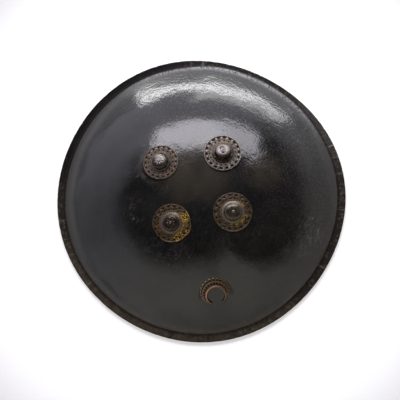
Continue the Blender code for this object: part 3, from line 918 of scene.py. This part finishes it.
def pierced_place(column, row, ring, opening, size):
    """Polar place of a corner of a ring of cells, bent round the opening in the middle of its sector."""
    middle_radius, half_ring = ring
    half_width, half_depth, *powers = opening
    half_cell = (COLUMNS_A_SECTOR / 2, ZONE_ROWS / 2)
    cell = column // COLUMNS_A_SECTOR
    across = column - cell * COLUMNS_A_SECTOR - half_cell[0]
    down = half_cell[1] - row
    pitch = 2 * pi / SECTORS
    grid = (across / COLUMNS_A_SECTOR * pitch * middle_radius, down / half_cell[1] * half_ring)
    u, v = round_opening((across, down), half_cell, size, grid, (half_width, half_depth), powers)
    return (cell + 0.5) * pitch + u / middle_radius, middle_radius + v


def plain_edge(angle, radius, plate_radius, lift):
    return *polar(radius, angle), lift


def lifted_edge(angle, radius, plate_radius, lift):
    """The edge stands off the hide on one side."""
    lift += 0.0009 * sector(angle, -80, 125) * smooth_step((radius / plate_radius - 0.6) / 0.4)
    return *polar(radius, angle), lift


def torn_edge(angle, radius, plate_radius, lift):
    """A straight bit is missing on one side, and a tongue is bent out on the other."""
    edge = smooth_step((radius - 0.88 * plate_radius) / (0.1 * plate_radius))
    tongue = sector(angle, -30, 23) ** 0.7 * edge
    lift -= 0.0002 * tongue
    u, v = polar(radius + 0.0022 * tongue, angle)
    cut = radians(209)
    past = u * cos(cut) + v * sin(cut) - 0.925 * plate_radius
    if past > 0:
        u -= past * cos(cut)
        v -= past * sin(cut)
        lift -= 0.0004 * smooth_step(past / 0.001)
    return u, v, lift


PLATE_WEAR = (plain_edge, lifted_edge, torn_edge, plain_edge)


def build_plate(number, finish):
    """Pierced round plate: a bead round its edge, two rings of openings and a raised band between them."""
    plate_radius, outer_opening, inner_opening, bead_height, strut_wear, wear, turn = (
        values[number - 1] for values in (
            PLATE_RADII, OUTER_OPENINGS, INNER_OPENINGS, BEAD_HEIGHTS, STRUT_WEAR, PLATE_WEAR, PLATE_TURNS))
    place = boss_seat(number)
    outer_ring, inner_ring = (
        tuple(size * plate_radius / RING_SCALE_RADIUS for size in ring) for ring in (OUTER_RING, INNER_RING))
    band_outer = outer_ring[0] - outer_ring[1]
    band_inner = inner_ring[0] + inner_ring[1]
    band = [band_outer + (band_inner - band_outer) * share for share in (0.25, 0.5, 0.75)]
    first_outer = len(BEAD)
    first_band = first_outer + ZONE_ROWS + 1
    first_inner = first_band + len(band)
    first_land = first_inner + ZONE_ROWS + 1
    columns = SECTORS * COLUMNS_A_SECTOR

    def turned_place(column, row):
        regular = 2 * pi * column / columns
        if row < first_outer:
            return regular, plate_radius - BEAD[row] * MM
        if row < first_band:
            return pierced_place(column, row - first_outer, outer_ring, outer_opening, OPENING_SIZE)
        if row < first_inner:
            return regular, band[row - first_band]
        if row < first_land:
            return pierced_place(column, row - first_inner, inner_ring, inner_opening, SMALL_OPENING_SIZE)
        return regular, LAND[row - first_land]

    def corner_place(column, row):
        angle, radius = turned_place(column, row)
        from_bead = abs(plate_radius - BEAD_MIDDLE - radius) / BEAD_MIDDLE
        bead = bead_height * sqrt(max(1 - from_bead ** 2, 0.0))
        raised_band = hump(radius, (band_outer + band_inner) / 2, 0.0012)
        near_strut = abs((column / COLUMNS_A_SECTOR + 0.5) % 1 - 0.5) * 2
        strut = (1 - smooth_step(near_strut / 0.45)) * hump(radius, outer_ring[0], 1.3 * outer_ring[1])
        lift = GAP + PLATE_THICKNESS + bead + 0.0002 * raised_band + 0.0003 * strut
        lift += 0.00006 * noise.noise(Vector((*polar(radius, angle), 0)) * 500)
        u, v, lift = wear(angle, radius, plate_radius, lift)
        spun_round = Matrix.Rotation(radians(turn), 2) @ Vector((u, v))
        inner = 0.4 * hump(radius, 0.0185, 0.0055) if number > 2 else 0.0
        grooves = hump(radius, plate_radius - 0.0022, 0.0007)
        grooves += 0.7 * hump(radius, band_outer - 0.0002, 0.0006)
        worn = max(0.1 + 650 * bead, 0.5 * raised_band, strut_wear * strut, 0.28 + inner) - 0.45 * grooves
        # On the first two plates, painted shade of the cap on the land to its right and below it.
        if number < 3:
            worn -= 0.35 * sector(angle, -40, 110) * hump(radius, 0.0172, 0.0035)
        return lay_on_dome(place, *spun_round, lift), max(worn, 0.0)

    def is_open(column, row):
        across = abs(column % COLUMNS_A_SECTOR + 0.5 - COLUMNS_A_SECTOR / 2)
        return any(
            across < half_columns and abs(row + 0.5 - first - ZONE_ROWS / 2) < half_rows
            for first, (half_columns, half_rows) in (
                (first_outer, OPENING_SIZE), (first_inner, SMALL_OPENING_SIZE)))

    work = wrapped(columns, first_land + len(LAND) - 1, corner_place, ["worn"], is_open, closed=True)
    add_sheet_metal(new_piece(f"boss_plate_{number}", work, finish), PLATE_THICKNESS)


# Section of each cap, from the hole on top down its outer side, in millimetres over the hide.
CAP_SECTIONS = (
    ((2.4, 11.2), (5.0, 11.1), (7.8, 10.7), (10.3, 9.6), (12.0, 7.9), (12.7, 6.0), (12.9, 4.2), (13.1, 3.3),
     (13.6, 3.3), (14.6, 3.5), (15.6, 3.2), (16.2, 2.4), (16.2, 1.7)),
    ((2.4, 11.8), (5.0, 11.7), (8.2, 11.3), (10.5, 10.3), (11.8, 8.5), (12.4, 6.4), (12.6, 4.6), (13.0, 3.6),
     (14.4, 3.2), (16.2, 3.0), (17.1, 2.4), (17.1, 1.7)),
    ((2.4, 11.2), (5.2, 11.2), (8.6, 10.9), (11.2, 10.1), (12.8, 8.7), (13.5, 7.1), (13.9, 5.9), (14.8, 5.0),
     (16.2, 4.0), (17.4, 2.9), (18.1, 2.1), (18.1, 1.7)),
    ((2.4, 11.8), (5.0, 11.7), (8.4, 11.2), (11.4, 10.1), (13.5, 8.2), (14.4, 6.0), (14.7, 4.6), (15.4, 3.9),
     (16.8, 3.5), (17.9, 2.8), (18.3, 2.0), (18.3, 1.7)),
)
CAP_SIDES = 96
HEAD_SIDES = 32
WASHER_SIDES = 40
EYE_SIDES = (40, 16)                  # round the ring and round its wire
RING_SIDES = (72, 16)
LOOP_SIDES = (36, 14)
CAP_WALL = 1.2 * MM
COLLAR_TOP = 0.0038                   # the relief is above it
CAP_LEANS = ((-0.0016, 0.0002), (0.0005, 0.0011), (0.0, 0.0), (0.0, 0.0))       # how far each top is knocked


def leaning(number, point):
    """Point of a boss moved by the lean of its cap."""
    return point + Vector((*CAP_LEANS[number - 1], 0)) * smooth_step((point.z - 0.0036) / 0.0055)


def flowered(angle, radius):
    """Petals round the bolt, worn away on the upper side, a painted highlight on the upper side with a thin
    dark line through it, a collar painted paler but left in painted shade on its right, and a dark groove
    round the foot.
    """
    petal = (0.5 + 0.5 * cos(9 * angle)) ** 0.8
    flower = hump(radius, 0.0050, 0.0036) * smooth_step(0.7 - 1.0 * sin(angle))
    # Painted highlight on the upper side of the dome.
    shine = 0.10 + 0.9 * sector(angle, 45, 115) ** 0.5 * hump(radius, 0.0088, 0.0050)
    shine += 0.85 * smooth_step((0.0058 - radius) / 0.0025)
    shine -= 1.2 * hump(radius, 0.0100, 0.0006) * sector(angle, 50, 60)
    shine += flower * (1.5 * petal - 0.4)
    # Painted highlight on the collar, left off on its right side as painted shade.
    shine += 0.4 * hump(radius, 0.0150, 0.0016) * smooth_step(0.6 - cos(angle))
    return 0.0006 * (petal - 0.5) * flower, shine - 0.9 * hump(radius, 0.0131, 0.0012)


def worn_top(angle, radius):
    """Bright on its flat, slanting top, rubbed and with a painted highlight, with a shallow ring pressed in
    round the bolt, and a faint painted highlight on the collar's upper side.
    """
    edge = 0.0109 + 0.0014 * cos(angle) ** 2 - 0.0010 * max(-sin(angle), 0.0)
    up_slope = max(radius * sin(angle - radians(10)) + 0.004, 0.0)
    lift = -0.14 * up_slope * smooth_step((0.0125 - radius) / 0.002) - 0.0003 * hump(radius, 0.0052, 0.0012)
    # Rubbed wear and painted highlight on the top, shaped like the highlight: wider across than up and down.
    shine = 0.9 * smooth_step((edge - radius) / 0.0012)
    shine -= 0.8 * hump(radius, 0.0046, 0.0009) + 0.5 * hump(radius, 0.0022, 0.0006)
    # Faint painted highlight on the collar's upper side.
    return lift, shine + 0.15 * hump(radius, 0.0158, 0.0015) * smooth_step(0.5 + sin(angle))


def petalled(angle, radius):
    """Petals round the bolt, inside a turned line."""
    petal = (0.5 + 0.5 * cos(8 * angle)) ** 0.7
    flower = hump(radius, 0.0056, 0.003)
    lift = 0.0006 * (petal - 0.6) * flower - 0.00025 * hump(radius, 0.0088, 0.0009)
    return lift, 0.10 + 0.30 * petal * flower + 0.5 * smooth_step((radius - 0.0130) / 0.0016)


def plain_dome(angle, radius):
    """Two fine turned lines near the foot."""
    lift = -0.00010 * (hump(radius, 0.0128, 0.0004) + hump(radius, 0.0137, 0.0004))
    return lift, 0.12 + 0.6 * smooth_step((radius - 0.0144) / 0.0010)


CAP_RELIEFS = (flowered, worn_top, petalled, plain_dome)


def build_cap(number, finish):
    """Hollow cap with its collar."""
    outer = [(r * MM, h * MM) for r, h in CAP_SECTIONS[number - 1]]
    inner = [(outer[-1][0] - 2 * CAP_WALL, CAP_SEAT), (outer[4][0] - CAP_WALL, outer[4][1] - CAP_WALL),
             (outer[2][0] - CAP_WALL / 2, outer[2][1] - CAP_WALL), (outer[0][0], outer[0][1] - CAP_WALL)]
    section = [(*point, 1) for point in through(outer, 5)] + [(*point, 0) for point in inner]
    work = spun(section, CAP_SIDES, closed=True)
    is_outer = work.verts.layers.float["mark"]
    shines = work.verts.layers.float.new("shine")
    place = boss_seat(number)
    for corner in work.verts:
        if corner[is_outer]:
            lift, shine = CAP_RELIEFS[number - 1](atan2(corner.co.y, corner.co.x), corner.co.xy.length)
            if corner.co.z > COLLAR_TOP:
                corner.co.z += lift
            corner[shines] = clamp(shine)
        corner.co = place @ leaning(number, corner.co)
    new_piece(f"boss_cap_{number}", work, finish)


def end_way(number):
    """Level direction in which a grip leaves a boss's ring: along Y, and in towards the other grip."""
    x, y = BOSS_PLACES[number - 1]
    return Vector((copysign(sin(GRIP_LEAN), -x), copysign(cos(GRIP_LEAN), -y), 0))


def facing(centre, axis):
    turn = Vector((0, 0, 1)).rotation_difference(axis).to_matrix().to_4x4()
    return Matrix.Translation(centre) @ turn


# Section of each bolt's head over the cap: radius in millimetres, height in shares of the head's height.
HEAD_SECTIONS = (
    ((0, 1.0), (1.5, 0.95), (2.3, 0.75), (2.6, 0.25), (2.6, 0.0)),
    ((0, 0.35), (0.5, 0.4), (0.9, 0.75), (1.8, 0.9), (2.5, 0.7), (2.7, 0.0)),
    ((0, 0.9), (0.7, 1.0), (1.6, 0.95), (2.4, 0.6), (2.6, 0.0)),
    ((0, 1.0), (0.8, 0.92), (1.5, 0.55), (2.2, 0.25), (2.7, 0.0)),
)
HEAD_SHINES = (0.8, 0.6, 0.2, 0.3)


def build_bolt(number, finish):
    """Bolt: its head on the cap, the shank through the hide and the eye under it."""
    place = boss_seat(number)
    head = CAP_HEIGHTS[number - 1] + GAP
    section = [(r * MM, head + share * HEAD_HEIGHT) for r, share in HEAD_SECTIONS[number - 1]]
    work = spun(through(section, 3) + [
        (SHANK_RADIUS, head), (SHANK_RADIUS, WASHER_TOP), (SHANK_RADIUS, EYE_DEPTH + EYE_RADIUS),
        (0, EYE_DEPTH + EYE_RADIUS)], HEAD_SIDES)
    shines = work.verts.layers.float.new("shine")
    for corner in work.verts:
        on_head = corner.co.z > head - 0.0001
        if on_head:
            corner[shines] = HEAD_SHINES[number - 1] + 0.5 * smooth_step((corner.co.z - head) / HEAD_HEIGHT)
        if number == 1:
            if on_head:
                way = atan2(corner.co.y, corner.co.x)
                corner.co.xy *= 0.9 / (abs(cos(way)) ** 4 + abs(sin(way)) ** 4) ** 0.25
            corner.co = leaning(number, corner.co)
    bmesh.ops.transform(work, matrix=place, verts=work.verts)
    eye_axis = end_way(number).cross(place.col[2].to_3d()).normalized()
    eye = facing(place @ Vector((0, 0, EYE_DEPTH)), eye_axis)
    join_into(work, torus(EYE_RADIUS, EYE_WIRE, *EYE_SIDES, eye))
    new_piece(f"boss_bolt_{number}", work, finish)


def build_washer(number, finish):
    """Hand-cut washer, a little uneven."""
    top = WASHER_TOP
    bottom = WASHER_TOP - WASHER_THICKNESS
    rim = WASHER_RADIUS
    work = spun(through([
        (BOLT_HOLE_RADIUS, top), (rim - 0.0004, top), (rim, top - 0.0003), (rim, bottom + 0.0003),
        (rim - 0.0004, bottom), (BOLT_HOLE_RADIUS + 0.0003, bottom)], 2), WASHER_SIDES, closed=True)
    for corner in work.verts:
        if corner.co.xy.length > 0.6 * rim:
            corner.co.xy *= 1 - 0.02 * (1 + cos(7 * atan2(corner.co.y, corner.co.x) + number))
    bmesh.ops.transform(work, matrix=boss_seat(number), verts=work.verts)
    new_piece(f"boss_washer_{number}", work, finish)


# ---------------------------------------------------------------- rings and grips

def build_ring(number, finish):
    node = f"grip_ring_{number}"
    centre = box_middle(node)
    work = torus(RING_RADIUS, RING_WIRE, *RING_SIDES, facing(centre, end_way(number)))
    for corner in work.verts:
        corner.co += 0.00012 * noise.noise(corner.co * 300) * (corner.co - centre).normalized()
    new_piece(node, work, finish)


def build_grip(node, ends, finish):
    """Grip wound with a leather strip between the rings of two bosses, with a thong loop round each ring."""
    lows = [box_middle(f"grip_ring_{number}") - Vector((0, 0, RING_RADIUS)) for number in ends]
    start, end = (low + end_way(number) * (LOOP_RADIUS + GAP) for low, number in zip(lows, ends))
    half = (start - end) / 2
    mean = (start + end) / 2
    inward = -copysign(half.y * tan(GRIP_LEAN) / 2, start.x)
    middle = mean + Vector((inward, 0, -GRIP_SAG))
    rows, columns, turns = 150, 28, 13

    def along(share):
        return middle + half * share + (mean - middle) * share ** 2

    def corner_place(column, row):
        share = 1 - 2 * row / rows
        ahead = (along(share - 0.01) - along(share + 0.01)).normalized()
        across = ahead.cross(Vector((0, 0, 1))).normalized()
        up = across.cross(ahead)
        angle = 2 * pi * column / columns
        radius = GRIP_RADIUS - (GRIP_RADIUS - GRIP_END_RADIUS) * share ** 2
        wound = (turns * (share + 1) / 2 + column / columns) % 1
        radius -= 0.0006 * (1 - smooth_step(wound / 0.18)) + 0.0004 * smooth_step((wound - 0.2) / 0.8)
        closing = (1 - abs(share)) * half.y / 0.002
        if closing < 1:
            radius *= sqrt(max(1 - (1 - closing) ** 2, 0))
        point = along(share) + (across * cos(angle) + up * sin(angle)) * radius
        return point, hump(abs(share), 0, 0.8) * (0.6 + 0.4 * noise.noise(point * 200))

    work = wrapped(columns, rows, corner_place, ["worn"], closed=True)
    bmesh.ops.recalc_face_normals(work, faces=work.faces)
    for low, number in zip(lows, ends):
        axis = end_way(number).cross(Vector((0, 0, 1)))
        join_into(work, torus(LOOP_RADIUS, LOOP_THONG, *LOOP_SIDES, facing(low, axis)))
    new_piece(node, work, finish)


# ---------------------------------------------------------------- the crescent

CRESCENT_PAINTS = ("band", "tip", "band_highlight")
CELL_COLUMNS = 10
CELL_ROWS = 6
HALF_CELL = (CELL_COLUMNS / 2, CELL_ROWS / 2)
CELL_HOLE = (3, 2)                    # half columns and half rows of the opening in each cell
NARROWEST_OPEN = (0.0065, 0.0045)     # the fringe's least width for the outer openings and for the inner ones
BAND_ROWS = 12
FRINGE_ROWS = 2 * CELL_ROWS
CELL_PITCH = 2 * HORN_ANGLE / CRESCENT_CELLS


def crescent_edge(angle):
    """Outer edge's distance from the inner circle's middle."""
    across, along = (CRESCENT_OFFSET * part(angle - CRESCENT_LEAN) for part in (sin, cos))
    return along + sqrt(CRESCENT_OUTER ** 2 - across ** 2)


def band_edge(angle):
    return CRESCENT_INNER + BAND_WIDTH - BAND_TAPER * (1 - cos(angle - BAND_LEAN)) / 2


def fringe_width(angle):
    return max(crescent_edge(angle) - band_edge(angle), 0.0005)


def cell_angle(cell, across):
    return -HORN_ANGLE + (cell + (across + 1) / 2) * CELL_PITCH


def fringe_place(cell, across, row):
    """Angle, radius, lift and paints of a corner in the pierced fringe. across is -1 to 1 in its cell."""
    half = 0 if row <= CELL_ROWS else 1
    down = (row - half * CELL_ROWS) / HALF_CELL[1] - 1
    steps = (across * HALF_CELL[0], down * HALF_CELL[1])
    across, down = round_opening(steps, HALF_CELL, CELL_HOLE, (across, down), (0.72, (0.6, 0.80)[half]))
    angle = cell_angle(cell, across)
    share = 1 - (half + (down + 1) / 2) / 2
    width = fringe_width(angle)
    scallop = 0.0007 * (cos(across * pi / 2) - 0.5) * min(width / 0.006, 1) * share
    bead = hump(share, 0.93, 0.2) * hump(across, 0, 0.8)
    rail = hump(share, 0.5, 0.22)
    tip = (bead + 0.25 * rail) * (sector(angle, 60, 95) * 0.9 + 0.25)
    return angle, band_edge(angle) + width * share + scallop, 0.0005 * bead + 0.0003 * rail, (0.0, tip, 0.0)


def band_place(cell, across, row):
    """The same on the smooth band."""
    angle = cell_angle(cell, across)
    share = (row - FRINGE_ROWS) / BAND_ROWS
    rise = sin(pi * (0.08 + 0.84 * share)) ** 0.6
    radius = band_edge(angle) - (band_edge(angle) - CRESCENT_INNER) * share
    # Painted highlight along the band's crest, brightest on the upper side.
    lit = hump(share, 0.30, 0.34) * (0.30 + 0.75 * sector(angle, 55, 95))
    return angle, radius, BAND_LIFT * rise, (smooth_step((share + 0.04) / 0.08), 0.0, lit)


def build_crescent(finish, dirt):
    """Crescent: a raised smooth band, outside it a pierced fringe of beaded cells, and dirt behind that."""
    place = seat(*CRESCENT_PLACE)

    def laid(radius, angle, lift):
        return lay_on_dome(place, *polar(radius, angle + pi / 2), lift)

    def corner_place(column, row):
        cell = min(column // CELL_COLUMNS, CRESCENT_CELLS - 1)
        across = (column - cell * CELL_COLUMNS) / HALF_CELL[0] - 1
        part = fringe_place if row <= FRINGE_ROWS else band_place
        angle, radius, lift, paints = part(cell, across, row)
        horn = smooth_step((HORN_ANGLE - abs(angle)) / radians(7))
        middle = CRESCENT_INNER + 0.4 * (band_edge(angle) - CRESCENT_INNER)
        radius = middle + (radius - middle) * (0.45 + 0.55 * horn)
        return laid(radius, angle, GAP + CRESCENT_THICKNESS + lift * (0.5 + 0.5 * horn)), *paints

    def is_open(column, row):
        if row >= FRINGE_ROWS:
            return False
        across = abs(column % CELL_COLUMNS + 0.5 - HALF_CELL[0])
        down = abs(row % CELL_ROWS + 0.5 - HALF_CELL[1])
        angle = -HORN_ANGLE + (column + 0.5) / CELL_COLUMNS * CELL_PITCH
        is_wide = fringe_width(angle) > NARROWEST_OPEN[row // CELL_ROWS]
        return across < CELL_HOLE[0] and down < CELL_HOLE[1] and is_wide

    work = wrapped(
        CRESCENT_CELLS * CELL_COLUMNS, FRINGE_ROWS + BAND_ROWS, corner_place, CRESCENT_PAINTS, is_open)
    add_sheet_metal(
        new_piece("crescent", work, finish), CRESCENT_THICKNESS, soft_edge=0.00014)
    columns, rows = 90, 6
    dirt_lift = GAP + 0.0003
    under_band = 0.0010

    def dirt_place(column, row):
        angle = (column / columns - 0.5) * 1.86 * HORN_ANGLE
        radius = band_edge(angle) - under_band + (0.82 * fringe_width(angle) + under_band) * row / rows
        return (laid(radius, angle, dirt_lift),)

    new_piece("crescent", wrapped(columns, rows, dirt_place), dirt, "crescent_dirt")


# ---------------------------------------------------------------- light, floor and camera

FLOOR_GLOW = 0.47
LIGHTS_AIM = Vector((0, 0, 0.05))
SOFTBOX_DISTANCE = 2.2


def build_floor():
    work = bmesh.new()
    bmesh.ops.create_grid(work, x_segments=8, y_segments=8, size=12)
    bmesh.ops.translate(work, vec=(0, 0, -0.0002), verts=work.verts)
    mesh = bpy.data.meshes.new("floor")
    work.to_mesh(mesh)
    work.free()
    floor = put("floor", mesh)
    finish = material("pale_glowing_floor")
    # The floor glows, brightest round the shield and dimmer and darker further out: a painted pool of light
    # round the shield.
    further_out = finish.distance(AXIS).rise(0.34, 0.62)
    mesh.materials.append(finish.done({
        "Base Color": finish.mix(further_out, (0.62, 0.62, 0.62), (0.31, 0.31, 0.31)),
        "Emission Color": finish.mix(further_out, (1, 1, 1), (0.27, 0.27, 0.27)),
        "Emission Strength": FLOOR_GLOW,
        "Roughness": 0.9,
        "Specular IOR Level": 0.2,
    }))


def add_panel(name, centre, way, tilt, size, radiance, tint, aside=0.0):
    """Soft rectangular light that shines along way, tilted in its own plane and moved aside along it."""
    light = bpy.data.lights.new(name, "AREA")
    light.shape = "RECTANGLE"
    light.size, light.size_y = size
    light.color = tint
    light.energy = radiance * pi * size[0] * size[1]
    lamp = put(name, light)
    lamp.rotation_mode = "QUATERNION"
    lamp.rotation_quaternion = way.to_track_quat("-Z", "Y") @ Matrix.Rotation(tilt, 4, "Z").to_quaternion()
    lamp.location = centre + lamp.rotation_quaternion @ Vector((aside, 0, 0))


def add_strip(name, start, end, height, radiance):
    """Upright strip light between the middles of its two ends, shining towards -Y."""
    start, end = Vector(start), Vector(end)
    run = end - start
    level = Vector((run.x, run.y, 0))
    way = level.normalized().cross(Vector((0, 0, 1)))
    tilt = -atan2(run.z, level.length)
    add_panel(name, (start + end) / 2, way, tilt, (run.length, height), radiance, (1, 1, 1))


def build_lights():
    """High softboxes beyond the shield, and low strips close behind it that rise towards +X."""
    azimuth = radians(12)
    tilt = radians(3)
    for name, from_top, aside, size, radiance in (
            ("high_softbox", radians(40.5), 0.38, (1.44, 0.86), 8.2),
            ("side_softbox", radians(41.5), -0.76, (0.84, 0.79), 7.0)):
        way = Vector((sin(azimuth) * sin(from_top), cos(azimuth) * sin(from_top), cos(from_top)))
        centre = LIGHTS_AIM + way * SOFTBOX_DISTANCE
        add_panel(name, centre, -way, tilt, size, radiance, (0.97, 0.95, 1.03), aside)
    bend = (0.446, 0.942, 0.118)
    far_right = (1.520, 1.305)
    add_strip("low_strip_left", (-0.245, 0.707, 0.045), bend, 0.062, 15)
    add_strip("low_strip_right", bend, (1.470, 1.290, 0.150), 0.053, 18)
    add_strip("upper_glow", (0.060, 0.811, 0.22), (*far_right, 0.30), 0.15, 4.0)
    add_strip("side_glow", (0.90, 1.097, 0.36), (*far_right, 0.42), 0.16, 4.0)
    add_strip("lower_glow", (0.120, 0.832, 0.045), (1.300, 1.233, 0.055), 0.08, 4.0)


def build_world():
    """Dim overhead, pale towards the horizon, brightest and coolest on the +Y side."""
    world = bpy.data.worlds.new("studio")
    bpy.context.scene.world = world
    finish = Finish(world)
    x, y, z = finish.split(finish.node("ShaderNodeTexCoord")["Generated"])
    level = (x * x + y * y).larger(0.0001) ** 0.5
    from_top = finish.maths("ARCCOSINE", z)
    right = (x / level).rise(0.2, 0.8)
    behind_left = ((0 - x - y) / level).rise(0.95, 1.40)
    left = (0 - x / level).rise(0.2, 0.95) * (1 - 0.35 * behind_left)
    behind_right = ((0.6 * x - y) / level).rise(0.98, 1.15)
    beyond = (y / level).rise(0.1, 0.95)
    low_behind = from_top.rise(radians(64), radians(86)) * (0 - y / level).rise(0.72, 0.97)
    horizon = radians(33) + radians(35) * right + radians(18) * left - radians(5) * behind_right
    wall = (from_top - horizon).rise(radians(-12), radians(12))
    wall_glow = 0.79 - 0.26 * left + 0.78 * beyond - 0.21 * right
    wall_glow = wall_glow + 0.20 * behind_left + 0.12 * behind_right - 0.40 * low_behind
    cool = ((y - 0.4 * x) / level).rise(-0.9, 0.6)
    background = finish.tree.nodes["Background"]
    finish.feed(background.inputs["Color"], finish.mix(cool, (1.04, 0.995, 0.90), (0.985, 0.965, 1.08)))
    finish.feed(background.inputs["Strength"], 0.06 + wall * wall_glow)


def build_camera():
    """Looks down on the dome from a little towards the crescent's side, turned so the shield hangs askew."""
    azimuth = radians(5.8)
    elevation = radians(77.7)
    roll = radians(-15.8)
    distance = 2.4
    back = Vector((sin(azimuth) * cos(elevation), -cos(azimuth) * cos(elevation), sin(elevation)))
    data = bpy.data.cameras.new("camera")
    data.lens = 131.6
    data.shift_x = 0.004
    data.shift_y = -0.0175
    camera = put("camera", data)
    camera.location = AXIS + LIGHTS_AIM + back * distance
    camera.rotation_mode = "QUATERNION"
    turn = Matrix.Rotation(roll, 4, "Z").to_quaternion()
    camera.rotation_quaternion = (-back).to_track_quat("-Z", "Y") @ turn
    bpy.context.scene.camera = camera
    bpy.context.scene.view_settings.view_transform = "Standard"


# Iron of each cap: patina, where it is rubbed bright and where a highlight is painted, rust, roughness.
CAP_IRONS = (
    ((0.044, 0.036, 0.029), (0.180, 0.160, 0.145), 0.4, 0.32),
    ((0.032, 0.021, 0.013), (0.150, 0.138, 0.131), 0.8, 0.26),
    ((0.040, 0.028, 0.020), (0.115, 0.092, 0.072), 0.1, 0.25),
    ((0.080, 0.065, 0.045), (0.125, 0.106, 0.086), 0.1, 0.24),
)


def build_all():
    build_hide(lacquered_hide(), raw_hide())
    plain_iron = dark_iron("plain_iron", (0.075, 0.068, 0.062), (0.17, 0.16, 0.15), 0.6, 0.48, (0.2, 0.9))
    for number, iron in enumerate(CAP_IRONS, 1):
        cap_iron = dark_iron(f"cap_iron_{number}", *iron)
        build_plate(number, boss_bronze(number))
        build_cap(number, cap_iron)
        build_bolt(number, cap_iron)
        build_washer(number, plain_iron)
        build_ring(number, plain_iron)
    leather = grip_leather()
    build_grip("grip_left", (1, 3), leather)
    build_grip("grip_right", (2, 4), leather)
    build_crescent(crescent_copper(), packed_dirt())
    build_floor()
    build_world()
    build_lights()
    build_camera()


build_all()
